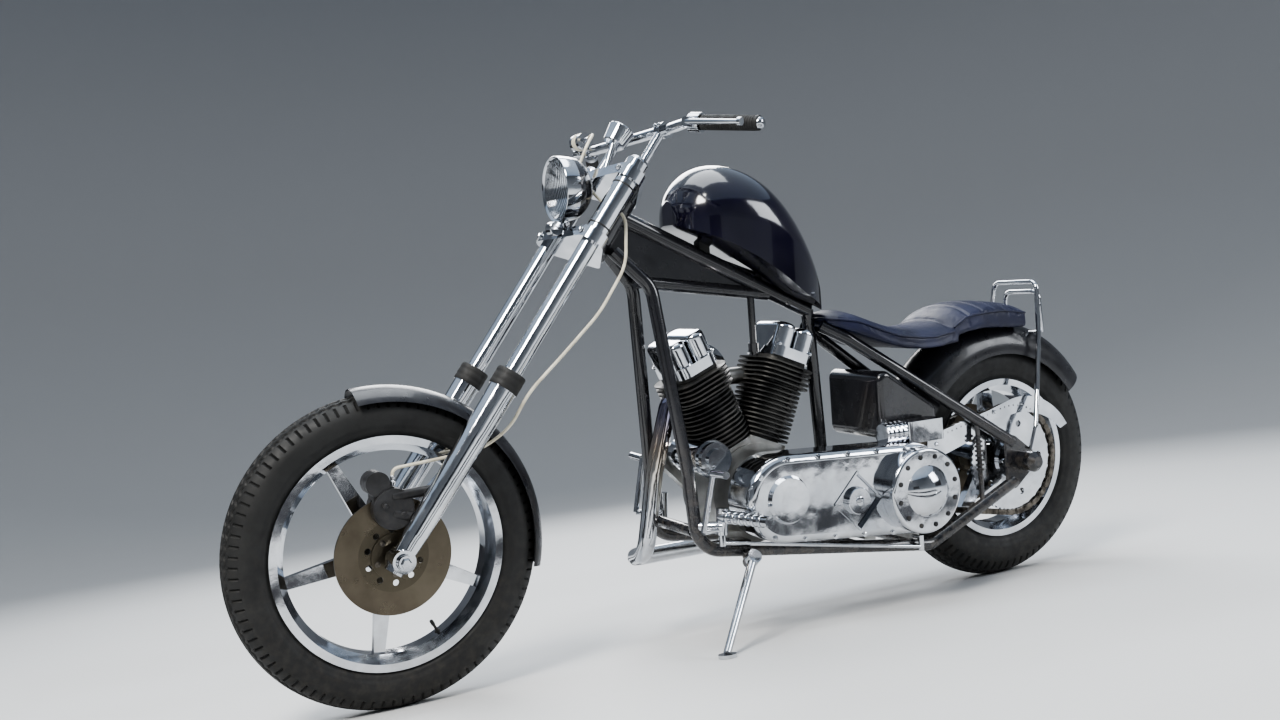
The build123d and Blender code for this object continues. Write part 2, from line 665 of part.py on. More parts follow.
# Fuel tank, lofted through upright sections from its round nose to its tail
# Columns: x, half width, height of the bottom, height of the top
tank_table = (
    (-961.0, 26.0, 1016.0, 1074.0), (-946.0, 74.0, 1003.0, 1098.0), (-915.0, 108.0, 987.0, 1132.0),
    (-862.0, 132.0, 961.0, 1154.0), (-800.0, 140.0, 926.0, 1151.0), (-733.0, 136.0, 884.0, 1123.0),
    (-655.0, 114.0, 832.0, 1046.0), (-596.0, 80.0, 803.0, 949.0), (-560.0, 44.0, 786.0, 868.0),
    (-545.0, 20.0, 780.0, 812.0),
)
tunnel_half = 27.0
tunnel_roof = 28.0
tunnel_extra = 31.0
backbone_run = (Vector(*backbone_rear) - backbone_front).normalized()
with BuildPart() as fuel_tank:
    for at_x, half, bottom, top in tank_table:
        with BuildSketch(Plane(origin=(at_x, 0, 0), x_dir=(0, 1, 0), z_dir=(1, 0, 0))):
            with BuildLine():
                Line((-half, bottom), (half, bottom))
                Line((half, bottom), (half, top - half))
                ThreePointArc((half, top - half), (0, top), (-half, top - half))
                Line((-half, top - half), (-half, bottom))
            make_face()
    loft()
    with BuildSketch(Plane(origin=backbone_front, x_dir=(0, 1, 0), z_dir=backbone_run)):
        Rectangle(tunnel_half * 2, tunnel_roof * 2)
    extrude(amount=(Vector(*backbone_rear) - backbone_front).length + tunnel_extra, mode=Mode.SUBTRACT)
keep(fuel_tank, "fuel_tank")

# Rubber blocks on the backbone that carry the tank
# Columns: x, height of the block's middle
block_table = ((-872.0, 950.0), (-700.0, 866.0))
block_half = 14.0
block_reach = 26.0
with BuildPart() as tank_mounts:
    for block_x, block_z in block_table:
        with BuildSketch(side_plane(block_half, (block_x, block_z))):
            Rectangle(block_half * 2, block_reach * 2)
        extrude(amount=block_half * 2)
    add(frame_backbone.part, mode=Mode.SUBTRACT)
    add(bar(backbone_front, backbone_rear, backbone_radius + seat_gap), mode=Mode.SUBTRACT)
    add(bar(backbone_front - Vector(0, 0, 24), Vector(*backbone_rear) - Vector(0, 0, 24), block_reach),
        mode=Mode.SUBTRACT)
    add(fuel_tank.part, mode=Mode.SUBTRACT)
keep(tank_mounts, "tank_mounts")

# Fuel cap, low on the right shoulder of the tank
cap_x = -815.0
cap_turn = 30.0
cap_radius = 26.0
cap_height = 8.0
cap_sink = 10.0
cap_ball = 138.0
cap_ball_z = 1014.0
cap_out = Vector(0, sin(radians(cap_turn)), cos(radians(cap_turn)))
cap_base = Vector(cap_x, 0, cap_ball_z) + cap_out * (cap_ball - cap_sink)
with BuildPart() as fuel_cap:
    add(bar(cap_base, cap_base + cap_out * (cap_height + cap_sink), cap_radius))
    fillet(fuel_cap.faces().sort_by(Axis(cap_base, cap_out))[-1].edges(), radius=3.0)
    add(fuel_tank.part, mode=Mode.SUBTRACT)
keep(fuel_cap, "fuel_cap")

# Seat: a low place for the rider and a raised pillion pad over the mudguard
# Columns: x, half width, underside height, top height, edge drop
saddle_table = (
    (-556.0, 52.0, 740.0, 770.0, 12.0), (-480.0, 96.0, 712.0, 764.0, 18.0),
    (-380.0, 130.0, 672.0, 724.0, 20.0), (-270.0, 138.0, 660.0, 712.0, 20.0),
    (-190.0, 132.0, 668.0, 722.0, 22.0),
)
pillion_table = (
    (-200.0, 122.0, 676.0, 728.0, 20.0), (-150.0, 122.0, 690.0, 754.0, 20.0),
    (0.0, 112.0, 690.0, 757.0, 20.0), (86.0, 88.0, 684.0, 747.0, 22.0),
)
with BuildPart() as seat:
    for table in (saddle_table, pillion_table):
        with BuildPart(mode=Mode.PRIVATE) as pad:
            for at_x, half, bottom, top, drop in table:
                with BuildSketch(Plane(origin=(at_x, 0, 0), x_dir=(0, 1, 0), z_dir=(1, 0, 0))):
                    with BuildLine():
                        Line((-half, bottom), (half, bottom))
                        Line((half, bottom), (half, top - drop))
                        ThreePointArc((half, top - drop), (0, top), (-half, top - drop))
                        Line((-half, top - drop), (-half, bottom))
                    make_face()
            loft()
        add(pad.part)
    add(rear_guard_core, mode=Mode.SUBTRACT)
    for side in (-1, 1):
        add(bent_tube([mirrored(p, side) for p in stay_points], frame_radius + seat_gap, stay_bend),
            mode=Mode.SUBTRACT)
keep(seat, "seat")

# Sissy bar: a hoop from the axle plates, with lugs to the mudguard and an inner hoop
hoop_radius = 6.5
hoop_foot_y = plate_y + plate_thick / 2 + hoop_radius + seat_gap
hoop_points = (
    (24.0, hoop_foot_y, rear_tyre_radius + 28.0), (46.0, hoop_foot_y, rear_tyre_radius + 86.0),
    (82.0, 118.0, rear_tyre_radius + 182.0), (120.0, 95.0, 670.0), (134.0, 81.0, 806.0),
)
inner_hoop = ((160.0, 68.0, 664.0), (156.0, 64.0, 778.0))
with BuildPart() as sissy_bar:
    hoop_route = list(hoop_points) + [mirrored(p, -1) for p in reversed(hoop_points)]
    add(bent_tube(hoop_route, hoop_radius, 24.0))
    hoop_inner = list(inner_hoop) + [mirrored(p, -1) for p in reversed(inner_hoop)]
    add(bent_tube(hoop_inner, hoop_radius, 24.0))
    for side in (-1, 1):
        add(bar((126.0, 88.5 * side, 732.0), (157.0, 65.5 * side, 742.0), 5.0))
        add(bar(mirrored((120.0, 95.0, 668.0), side), (134.0, 40.0 * side, 664.0), 5.5))
    add(rear_guard_core, mode=Mode.SUBTRACT)
keep(sissy_bar, "sissy_bar")

# Oil tank under the seat: a horseshoe round the rear mudguard
oil_half = 112.0
oil_outline = ((-448.0, 438.0), (-448.0, 636.0), (-262.0, 509.0), (-262.0, 438.0))
with BuildPart() as oil_tank:
    with BuildSketch(side_plane(oil_half)):
        with BuildLine():
            FilletPolyline(*oil_outline, radius=26.0, close=True)
        make_face()
    extrude(amount=oil_half * 2)
    fillet(oil_tank.faces().filter_by(Axis.Y).edges(), radius=16.0)
    add(rear_guard_core, mode=Mode.SUBTRACT)
keep(oil_tank, "oil_tank")

# Engine: a V-twin with open fins
v_half_angle = 22.5
case_radius = 122.0
case_left = -72.0
case_right = 84.0
deck_at = 132.0
deck_cut = 150.0
fin_pitch = 11.5
fin_thick = 3.6
barrel_fins = 12
barrel_core = 58.0
barrel_fin = (150.0, 152.0, 62.0)
head_fins = 5
head_base = 278.0
head_fin = (172.0, 150.0, 40.0)
head_core = (128.0, 112.0, 26.0)
rocker_base = 340.0
rocker_plate = (150.0, 112.0, 26.0)
rocker_plate_thick = 26.0
rocker_lobe_radius = 27.0
rocker_lobe_at = (-29.0, 29.0)
rocker_lobe_rise = 62.0
v_gap = 2.0
manifold_y = 34.0
manifold_half = 62.0
manifold_radius = 21.0
intake_z = engine_z + 282.0
pipe_radius = 22.0
pipe_wall = 2.0
pipe_bend = 52.0
pipe_routes = {
    "front": (
        (-932.0, 28.0, 612.0), (-975.0, 34.0, 590.0), (-1026.0, 40.0, 420.0), (-1064.0, 44.0, 222.0),
        (-1040.0, 168.0, 186.0), (-860.0, 186.0, 180.0), (120.0, 190.0, 196.0),
    ),
    "rear": (
        (-662.0, 40.0, 606.0), (-612.0, 120.0, 586.0), (-606.0, 176.0, 420.0), (-500.0, 190.0, 252.0),
        (120.0, 190.0, 250.0),
    ),
}


def cylinder_plane(lean_side, along):
    """A plane square to a cylinder; x is across the bike and y points away from the other cylinder's lean."""
    up = Vector(sin(radians(v_half_angle)) * lean_side, 0, cos(radians(v_half_angle)))
    return Plane(origin=crank_at + up * along, x_dir=(0, 1, 0), z_dir=up)


with BuildPart() as crankcase:
    add(disc((engine_x, (case_left + case_right) / 2, engine_z), case_radius, case_right - case_left))
    for lean_side in (-1, 1):
        with BuildSketch(cylinder_plane(lean_side, 60.0)):
            RectangleRounded(132.0, 128.0, 30.0)
        extrude(amount=deck_at - 60.0)
    for lean_side in (-1, 1):
        with BuildSketch(cylinder_plane(lean_side, deck_at)):
            Rectangle(deck_cut, deck_cut)
        extrude(amount=deck_cut / 2, mode=Mode.SUBTRACT)
    foot_lift = frame_radius + seat_gap + 10.0 + seat_gap
    for foot_x in (engine_x - 90, engine_x + 70):
        with BuildSketch(rail_plane(foot_x, foot_lift)):
            Rectangle(44.0, 190.0)
        extrude(amount=14.0)
        with BuildSketch(rail_plane(foot_x, foot_lift)):
            Rectangle(30.0, 130.0)
        extrude(amount=70.0)
    with BuildSketch(side_plane(case_right)):
        with Locations((engine_x, engine_z)):
            Circle(74.0)
        with Locations((engine_x - 138, engine_z + 88)):
            Circle(36.0)
        with Locations((engine_x + 62, engine_z + 60)):
            Circle(38.0)
        make_hull()
    extrude(amount=-34.0)
    add(disc((engine_x - 8, case_right + 40, engine_z + 10), 56.0, 14.0))
keep(crankcase, "crankcase")

for label, lean_side in (("front", -1), ("rear", 1)):
    with BuildPart() as cylinder:
        with BuildSketch(cylinder_plane(lean_side, deck_at + seat_gap)):
            Circle(barrel_core)
        extrude(amount=head_base - deck_at)
        for step in range(barrel_fins):
            with BuildSketch(cylinder_plane(lean_side, deck_at + 8 + step * fin_pitch)):
                RectangleRounded(*barrel_fin)
            extrude(amount=fin_thick)
        with BuildSketch(cylinder_plane(lean_side, head_base - 4)):
            RectangleRounded(*head_core)
        extrude(amount=rocker_base - head_base + 4 - seat_gap)
        for step in range(head_fins):
            with BuildSketch(cylinder_plane(lean_side, head_base + step * fin_pitch)):
                RectangleRounded(*head_fin)
            extrude(amount=fin_thick)
        add(bar((engine_x, manifold_y, intake_z), (engine_x + manifold_half * lean_side, manifold_y, intake_z),
                manifold_radius + seat_gap), mode=Mode.SUBTRACT)
        add(bent_tube(pipe_routes[label], pipe_radius + seat_gap, pipe_bend), mode=Mode.SUBTRACT)
        middle = Plane(origin=(engine_x + v_gap * lean_side, 0, 0), z_dir=(lean_side, 0, 0))
        split(bisect_by=middle, keep=Keep.TOP)
    keep(cylinder, f"cylinder_{label}")

    with BuildPart() as rocker_box:
        with BuildSketch(cylinder_plane(lean_side, rocker_base)):
            RectangleRounded(*rocker_plate)
        extrude(amount=rocker_plate_thick)
        for lobe in rocker_lobe_at:
            with BuildSketch(cylinder_plane(lean_side, rocker_base)):
                with Locations((0, lobe)):
                    RectangleRounded(rocker_plate[0] - 14, rocker_lobe_radius * 2, rocker_lobe_radius - 2)
            extrude(amount=rocker_plate_thick + rocker_lobe_rise)
        top_edges = rocker_box.faces().sort_by(Axis(crank_at, cylinder_plane(lean_side, 1).z_dir))[-2:].edges()
        fillet(top_edges, radius=14.0)
    keep(rocker_box, f"rocker_box_{label}")

# Steady from the lower beam to the rear cylinder head
steady_x = -742.0
with BuildPart() as engine_steady:
    add(bar((steady_x, 0, 838.0), (steady_x, 0, 679.0), 9.0))
    add(bar((steady_x, 0, 712.0), (steady_x, 0, 690.0), 14.0))
    add(frame_backbone.part, mode=Mode.SUBTRACT)
    add(pieces["cylinder_rear"].part, mode=Mode.SUBTRACT)
    add(pieces["rocker_box_rear"].part, mode=Mode.SUBTRACT)
keep(engine_steady, "engine_steady")

# Pushrod tubes on the right side
tube_rod_radius = 10.0
pushrod_y = 74.0
with BuildPart() as pushrod_tubes:
    for lean_side in (-1, 1):
        for offset_x in (-17.0, 17.0):
            foot = Vector(engine_x + 52 * lean_side + offset_x, pushrod_y + 22, engine_z + 104)
            head = cylinder_plane(lean_side, head_base - 6).origin + Vector(offset_x, pushrod_y + 2, 0)
            head = head + (foot - head).normalized() * 2
            add(bar(foot, head, tube_rod_radius))
            add(bar(foot, foot + (head - foot) * 0.18, tube_rod_radius + 4))
    for lean_side in (-1, 1):
        for offset_x in (-17.0, 17.0):
            foot = Vector(engine_x + 52 * lean_side + offset_x, pushrod_y + 22, engine_z + 104)
            add(bar(foot - Vector(0, 0, 16), foot, tube_rod_radius + 5))
    add(crankcase.part, mode=Mode.SUBTRACT)
    add(pieces["cylinder_front"].part, mode=Mode.SUBTRACT)
    add(pieces["cylinder_rear"].part, mode=Mode.SUBTRACT)
keep(pushrod_tubes, "pushrod_tubes")

# Intake manifold, carburettor and air cleaner on the right
carb_y = 118.0
cleaner_y = 168.0
cleaner_radius = 82.0
cleaner_depth = 44.0
with BuildPart() as carburettor:
    add(bar((engine_x - manifold_half + seat_gap, manifold_y, intake_z),
            (engine_x + manifold_half - seat_gap, manifold_y, intake_z), manifold_radius))
    add(bar((engine_x, 34, intake_z), (engine_x, cleaner_y - seat_gap, intake_z), 24.0))
    add(bar((engine_x, carb_y - 24, intake_z - 46), (engine_x, carb_y - 24, intake_z + 30), 27.0))
    add(bar((engine_x, carb_y - 24, intake_z - 62), (engine_x, carb_y - 24, intake_z - 44), 20.0))
keep(carburettor, "carburettor")
with BuildPart() as air_cleaner:
    add(disc((engine_x, cleaner_y + cleaner_depth / 2, intake_z), cleaner_radius, cleaner_depth))
    fillet(air_cleaner.faces().sort_by(Axis.Y)[-1].edges(), radius=16.0)
    add(disc((engine_x, cleaner_y + cleaner_depth, intake_z), 46.0, 8.0))
keep(air_cleaner, "air_cleaner")

# Generator across the front of the case
generator_at = (engine_x - 122.0, engine_z + 100.0)
generator_radius = 42.0
with BuildPart() as generator:
    add(disc((generator_at[0], -14, generator_at[1]), generator_radius, 168.0))
    add(disc((generator_at[0], -98, generator_at[1]), generator_radius * 0.62, 16.0))
    for band_y in (-72.0, 30.0):
        add(disc((generator_at[0], band_y, generator_at[1]), generator_radius + 4, 10.0))
    add(crankcase.part, mode=Mode.SUBTRACT)
    add(pieces["cylinder_front"].part, mode=Mode.SUBTRACT)
keep(generator, "generator")

# Exhaust: the front pipe drops between the downtubes, both run back low on the right
for label, route in pipe_routes.items():
    with BuildPart() as exhaust:
        add(bent_tube(route, pipe_radius, pipe_bend))
        tail = Vector(*route[-1])
        tail_start = tail - (tail - Vector(*route[-2])).normalized() * 120
        add(bar(tail_start, tail + (tail - tail_start), pipe_radius - pipe_wall), mode=Mode.SUBTRACT)
    keep(exhaust, f"exhaust_{label}")

# Primary drive cover on the left, with its clutch cover
primary_inner = 111.0
primary_outer = 212.0
primary_front_radius = 105.0
primary_rear_radius = 113.0
primary_round = 20.0
diamond_at = (-604.0, 318.0)
diamond_half = 70.0
diamond_depth = 9.0
inspection_radius = 34.0
clutch_radius = 106.0
clutch_face = 256.0
dome_radius = 64.0
dome_rise = 30.0
with BuildPart() as primary_cover:
    with BuildSketch(side_plane(-primary_inner)):
        with Locations((engine_x, engine_z)):
            Circle(primary_front_radius)
        with Locations((clutch_x, clutch_z)):
            Circle(primary_rear_radius)
        make_hull()
    extrude(amount=primary_outer - primary_inner)
    fillet(primary_cover.faces().sort_by(Axis.Y)[0].edges(), radius=primary_round)
    with BuildSketch(side_plane(-primary_outer, diamond_at)):
        RectangleRounded(diamond_half * 1.42, diamond_half * 1.42, 10.0, rotation=45)
        Circle(inspection_radius, mode=Mode.SUBTRACT)
    extrude(amount=-diamond_depth, mode=Mode.SUBTRACT)
    with BuildSketch(side_plane(-primary_outer, (engine_x, engine_z))):
        Circle(58.0)
    extrude(amount=10.0, taper=30)
    mount_to_case = primary_inner + case_left
    add(disc((engine_x, -primary_inner + (mount_to_case - seat_gap) / 2, engine_z), 70.0, mount_to_case - seat_gap))
keep(primary_cover, "primary_cover")
with BuildPart() as clutch_cover:
    with BuildSketch(side_plane(-primary_outer - seat_gap, (clutch_x, clutch_z))):
        Circle(clutch_radius)
    extrude(amount=clutch_face - primary_outer)
    fillet(clutch_cover.faces().sort_by(Axis.Y)[0].edges(), radius=8.0)
    dome_plane = Plane(origin=(clutch_x, -clutch_face, clutch_z), x_dir=(1, 0, 0), z_dir=(0, 0, 1))
    with BuildSketch(dome_plane):
        with BuildLine():
            Line((0, 0), (dome_radius, 0))
            derby_middle = dome_middle(dome_radius, dome_rise)
            ThreePointArc((dome_radius, 0), (derby_middle[0], -derby_middle[1]), (0, -dome_rise))
            Line((0, -dome_rise), (0, 0))
        make_face()
    revolve(axis=Axis((clutch_x, 0, clutch_z), (0, -1, 0)))
keep(clutch_cover, "clutch_cover")

# Gearbox with its output sprocket
gearbox_half = 84.0
gearbox_foot_half = 118.0
gearbox_foot_thick = 12.0
gearbox_left = -70.0
gearbox_box = (-530.0, -352.0, 200.0, 404.0)
drive_teeth = 24
drive_pitch_radius = chain_pitch / 2 / sin(radians(180 / drive_teeth))
with BuildPart() as gearbox:
    with BuildSketch(side_plane(gearbox_left)):
        with Locations(((gearbox_box[0] + gearbox_box[1]) / 2, (gearbox_box[2] + gearbox_box[3]) / 2)):
            RectangleRounded(gearbox_box[1] - gearbox_box[0], gearbox_box[3] - gearbox_box[2], 40.0)
    extrude(amount=gearbox_left - gearbox_half)
    fillet(gearbox.faces().sort_by(Axis.Y)[-1].edges(), radius=16.0)
    add(disc((clutch_x, gearbox_half + 8, clutch_z), 46.0, 18.0))
    for foot_x in (-510.0, -372.0):
        with BuildSketch(rail_plane(foot_x, frame_radius + seat_gap)):
            Rectangle(34.0, gearbox_foot_half * 2)
        extrude(amount=gearbox_foot_thick)
        with BuildSketch(rail_plane(foot_x, frame_radius + seat_gap)):
            Rectangle(34.0, gearbox_half * 1.6)
        extrude(amount=gearbox_box[2] - rail_height(foot_x) - frame_radius + 24)
    with BuildSketch(side_plane(sprocket_y, (clutch_x, clutch_z))):
        Circle(drive_pitch_radius - tooth_drop)
        with PolarLocations(drive_pitch_radius - tooth_drop, drive_teeth):
            Rectangle(tooth_depth, chain_pitch * 0.52, mode=Mode.SUBTRACT)
    extrude(amount=sprocket_thick / 2, both=True)
    shaft_end = -primary_inner + seat_gap
    add(bar((clutch_x, gearbox_left, clutch_z), (clutch_x, shaft_end, clutch_z), 24.0))
keep(gearbox, "gearbox")

# Starter motor and relay box above the primary cover
starter_z = 458.0
with BuildPart() as starter:
    add(bar((-476.0, -150.0, starter_z), (-412.0, -150.0, starter_z), 27.0))
    with BuildSketch(Plane(origin=(-358.0, -152.0, starter_z), x_dir=(1, 0, 0), z_dir=(0, 0, 1))):
        RectangleRounded(112.0, 62.0, 10.0)
    extrude(amount=27.0, both=True)
    for rib in range(4):
        add(bar((-470.0 + rib * 14, -150.0, starter_z), (-465.0 + rib * 14, -150.0, starter_z), 31.0))
    add(primary_cover.part, mode=Mode.SUBTRACT)
keep(starter, "starter")

# Rear chain: one fixed loop of scalloped side plates and pins
plate_inner = 4.9
link_plate = 2.6
link_half_height = 7.4
waist_half_height = 4.4
roller_radius = 5.0
with BuildSketch() as chain_path:
    with Locations((0, rear_tyre_radius)):
        Circle(sprocket_pitch_radius)
    with Locations((clutch_x, clutch_z)):
        Circle(drive_pitch_radius)
    make_hull()
chain_line = chain_path.face().outer_wire()
link_count = 2 * round(chain_line.length / chain_pitch / 2)
pin_places = [chain_line @ (step / link_count) for step in range(link_count)]
pin_spots = [(place.X, place.Y) for place in pin_places]
with BuildPart() as drive_chain:
    for side in (-1, 1):
        with BuildSketch(side_plane(sprocket_y + (plate_inner + link_plate / 2) * side + link_plate / 2)):
            with BuildSketch(Plane.XY, mode=Mode.PRIVATE) as outer_band:
                add(chain_path.face())
                offset(amount=waist_half_height)
            with BuildSketch(Plane.XY, mode=Mode.PRIVATE) as inner_band:
                add(chain_path.face())
                offset(amount=-waist_half_height)
            add(outer_band.sketch)
            add(inner_band.sketch, mode=Mode.SUBTRACT)
            with Locations(*pin_spots):
                Circle(link_half_height)
        extrude(amount=link_plate)
    with BuildSketch(side_plane(sprocket_y + plate_inner + link_plate + 1)):
        with Locations(*pin_spots):
            Circle(roller_radius)
    extrude(amount=2 * (plate_inner + link_plate + 1))
keep(drive_chain, "drive_chain")

# Chrome guard over the upper run of the chain: a long band that ends in a leaf
guard_outer = -101.0
guard_thick = 2.0
with BuildPart() as chain_guard:
    with BuildSketch(side_plane(guard_outer + guard_thick)):
        with BuildLine():
            Polyline((-292, 362), (-292, 425), (-225, 441), (-143, 458), (-78, 472), (-20, 488))
            ThreePointArc((-20, 488), (110, 484), (202, 404))
            Polyline((202, 404), (178, 394))
            ThreePointArc((178, 394), (96, 444), (0, 452))
            Polyline((0, 452), (-78, 446), (-143, 400), (-225, 376), (-292, 362))
        make_face()
    extrude(amount=guard_thick)
    add(bar((-104, guard_outer - 1.5, 456), (-100, -119, 436), 5.0))
    add(bar((-284, guard_outer + 1, 388), (-356, -64, 388), 5.0))
    add(gearbox.part, mode=Mode.SUBTRACT)
    add(pieces["frame_cradle_left"].part, mode=Mode.SUBTRACT)
keep(chain_guard, "chain_guard")

# Foot controls: pegs and levers on arms clamped to the downtubes
peg_x = -957.0
peg_z = 324.0
peg_sweep = 38.0
peg_inner = 150.0
peg_outer = 300.0
peg_radius = 13.0
tube_at_peg = Vector(-1006.5, 112.0, peg_z - 22)
arm_start_back = 3.0
rod_start_z = 262.0
rod_end_x = -372.0
rod_end_z = 157.0
with BuildPart() as foot_control_right:
    arm_end = Vector(peg_x, peg_inner + 8, peg_z - 22)
    arm_way = (arm_end - tube_at_peg).normalized()
    add(bar(tube_at_peg - arm_way * arm_start_back, arm_end, 12.5))
    add(bar((peg_x, peg_inner, peg_z - 42), (peg_x + 5, peg_inner, peg_z + 20), 14.0))
    add(bar((peg_x, peg_inner, peg_z), (peg_x + peg_sweep, peg_outer, peg_z + 4), peg_radius))
    add(bar((peg_x, peg_inner, peg_z - 30), (peg_x - 62, peg_inner + 24, peg_z - 24), 7.0))
    add(bar((peg_x - 62, peg_inner + 24, peg_z - 24), (peg_x - 30, peg_inner + 30, peg_z + 110), 7.0))
    add(bar((peg_x - 30, peg_inner + 30, peg_z + 110), (peg_x - 30, peg_inner + 90, peg_z + 112), 9.0))
    add(bar((peg_x, peg_inner, rod_start_z - 7), (peg_x, peg_inner, peg_z - 30), 8.0))
    add(bar((peg_x, peg_inner, rod_start_z), (rod_end_x, peg_inner, rod_end_z), 5.0))
    lever_top = rail_height(rod_end_x) + frame_radius + seat_gap + gearbox_foot_thick / 2 + 1
    add(bar((rod_end_x, peg_inner, rod_end_z - 8), (rod_end_x, peg_inner, lever_top + 6), 7.0))
    add(bar((rod_end_x, peg_inner, lever_top), (rod_end_x, gearbox_foot_half + seat_gap, lever_top), 5.0))
    add(pieces["frame_cradle_right"].part, mode=Mode.SUBTRACT)
keep(foot_control_right, "foot_control_right")
with BuildPart() as foot_control_left:
    add(foot_control_right.part.mirror(Plane.XZ))
keep(foot_control_left, "foot_control_left")

# Tail lamp on an arm from the right axle plate
lamp_y = 162.0
lamp_z = rear_tyre_radius - 14.0
with BuildPart() as tail_lamp:
    add(bar((66.0, lamp_y, lamp_z), (90.0, lamp_y, lamp_z), 22.0))
    add(bar((90.0, lamp_y, lamp_z), (96.0, lamp_y, lamp_z), 22.0, 16.0))
    add(bar((30.0, plate_y + 2.5, lamp_z - 2), (70.0, lamp_y, lamp_z), 6.0))
    add(pieces["frame_cradle_right"].part, mode=Mode.SUBTRACT)
keep(tail_lamp, "tail_lamp")

# Side stand: its leg swings from the left rail
stand_pivot = Vector(-885.0, -165.0, 217.0)
stand_foot_x = -1046.0
stand_foot_y = -292.0
stand_radius = 11.0
barrel_half = 12.0
foot_radius = 15.0
foot_thick = 8.0
ground_rise = tan(radians(park_lean))
stand_foot = Vector(stand_foot_x, stand_foot_y, -stand_foot_y * ground_rise + foot_thick)
stand_arm = (stand_foot - stand_pivot).normalized()
folded_arm = Vector(0.995, -0.1, -0.13).normalized()
stand_axis = stand_arm.cross(folded_arm).normalized()
stand_angle = degrees(atan2(stand_arm.cross(folded_arm).length, stand_arm.dot(folded_arm)))
ground_normal = Vector(0, sin(radians(park_lean)), cos(radians(park_lean)))
with BuildPart() as side_stand:
    add(bar(stand_pivot, stand_foot + ground_normal * 2, stand_radius, stand_radius * 0.8))
    add(bar(stand_pivot - stand_axis * barrel_half, stand_pivot + stand_axis * barrel_half, 17.0))
    add(bar(stand_foot - ground_normal * foot_thick, stand_foot, foot_radius + 6))
keep(side_stand, "side_stand")
with BuildPart() as stand_bracket:
    bracket_start = Vector(stand_pivot.X, -118 - frame_radius + 4, rail_height(stand_pivot.X))
    add(bar(stand_pivot - stand_axis * (barrel_half + seat_gap), stand_pivot - stand_axis * 26, 17.0))
    add(bar(bracket_start, stand_pivot - stand_axis * 17, 13.0))
    add(pieces["frame_cradle_left"].part, mode=Mode.SUBTRACT)
    add(bar(stand_pivot - stand_axis * (barrel_half + seat_gap), stand_pivot + stand_axis * 40, 30.0), mode=Mode.SUBTRACT)
keep(stand_bracket, "stand_bracket")

# Front brake hose, hanging beside the left leg: straight runs joined by arcs
hose_radius = 3.6
# Columns: distance behind the front axle, to the right and above it
hose_table = (
    (657.0, 229.0, 905.0), (657.0, 176.0, 917.0), (607.0, 112.0, 881.0), (553.0, 62.0, 815.0),
    (565.0, -22.0, 735.0), (595.0, -96.0, 697.0), (563.0, -142.0, 581.0), (481.0, -162.0, 481.0),
    (383.0, -164.0, 395.0), (303.0, -154.0, 323.0), (273.0, -100.0, 245.0), (213.0, -78.0, 203.0),
    (95.0, -76.0, 193.0), (9.0, -77.0, 187.0), (9.0, -77.0, 152.0),
)
hose_points = [front_axle_at + Vector(*place) for place in hose_table]
with BuildPart() as brake_hose:
    add(bent_tube(hose_points, hose_radius, 24.0))
keep(brake_hose, "brake_hose")

# Parking pose: lean to the left until the stand's foot is on the ground, then centre the bike
wheel_drop = (rear_tyre_radius - rear_tyre_width / 2) * (1 - cos(radians(park_lean)))
wheel_lift = rear_tyre_radius - wheel_drop - rear_tyre_radius * cos(radians(park_lean))
leaned = Location((0, 0, wheel_lift), (park_lean, 0, 0))
for piece in pieces.values():
    piece.part = piece.part.moved(leaned)
spans = [piece.part.bounding_box() for piece in pieces.values()]
middle_x = (min(span.min.X for span in spans) + max(span.max.X for span in spans)) / 2
middle_y = (min(span.min.Y for span in spans) + max(span.max.Y for span in spans)) / 2
centred = Location((-middle_x, -middle_y, 0))
os.makedirs("parts", exist_ok=True)
for label, piece in pieces.items():
    piece.part = piece.part.moved(centred)
    piece.part.label = label
    print(label, round(piece.part.volume / 1000), len(piece.part.solids()))
    export_step(piece.part, f"parts/{label}.step")
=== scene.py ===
import json
import math
import time

import bmesh
import bpy
import numpy as np
from mathutils import Matrix, Vector
from mathutils.bvhtree import BVHTree


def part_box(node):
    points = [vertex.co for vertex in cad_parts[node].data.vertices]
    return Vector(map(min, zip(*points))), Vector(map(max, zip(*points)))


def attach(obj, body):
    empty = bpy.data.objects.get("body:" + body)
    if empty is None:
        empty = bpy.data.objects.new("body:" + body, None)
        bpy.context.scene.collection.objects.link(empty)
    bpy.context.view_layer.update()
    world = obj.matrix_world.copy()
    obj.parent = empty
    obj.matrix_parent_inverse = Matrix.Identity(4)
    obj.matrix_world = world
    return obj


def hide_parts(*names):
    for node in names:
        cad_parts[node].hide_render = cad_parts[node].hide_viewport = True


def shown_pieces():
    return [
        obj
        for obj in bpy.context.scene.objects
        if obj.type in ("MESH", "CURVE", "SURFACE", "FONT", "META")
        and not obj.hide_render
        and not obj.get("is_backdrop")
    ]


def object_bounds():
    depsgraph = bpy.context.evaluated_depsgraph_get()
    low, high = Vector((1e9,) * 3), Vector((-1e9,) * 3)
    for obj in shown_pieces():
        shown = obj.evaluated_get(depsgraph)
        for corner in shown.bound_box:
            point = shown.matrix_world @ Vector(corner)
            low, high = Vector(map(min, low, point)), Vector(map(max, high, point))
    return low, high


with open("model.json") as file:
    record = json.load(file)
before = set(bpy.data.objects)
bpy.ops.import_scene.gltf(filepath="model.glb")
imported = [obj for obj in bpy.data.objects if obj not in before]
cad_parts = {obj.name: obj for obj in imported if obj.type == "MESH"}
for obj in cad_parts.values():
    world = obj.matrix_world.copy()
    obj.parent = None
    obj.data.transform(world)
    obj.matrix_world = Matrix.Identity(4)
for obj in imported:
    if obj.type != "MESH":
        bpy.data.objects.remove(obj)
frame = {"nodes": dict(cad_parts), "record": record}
began = time.time()


def writeSize(key, sizes={}):
    low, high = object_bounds()
    sizes[key] = [list(low), list(high)]


def report(stage):
    print(f"stage {stage}: {time.time() - began:.1f} s, {len(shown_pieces())} pieces")


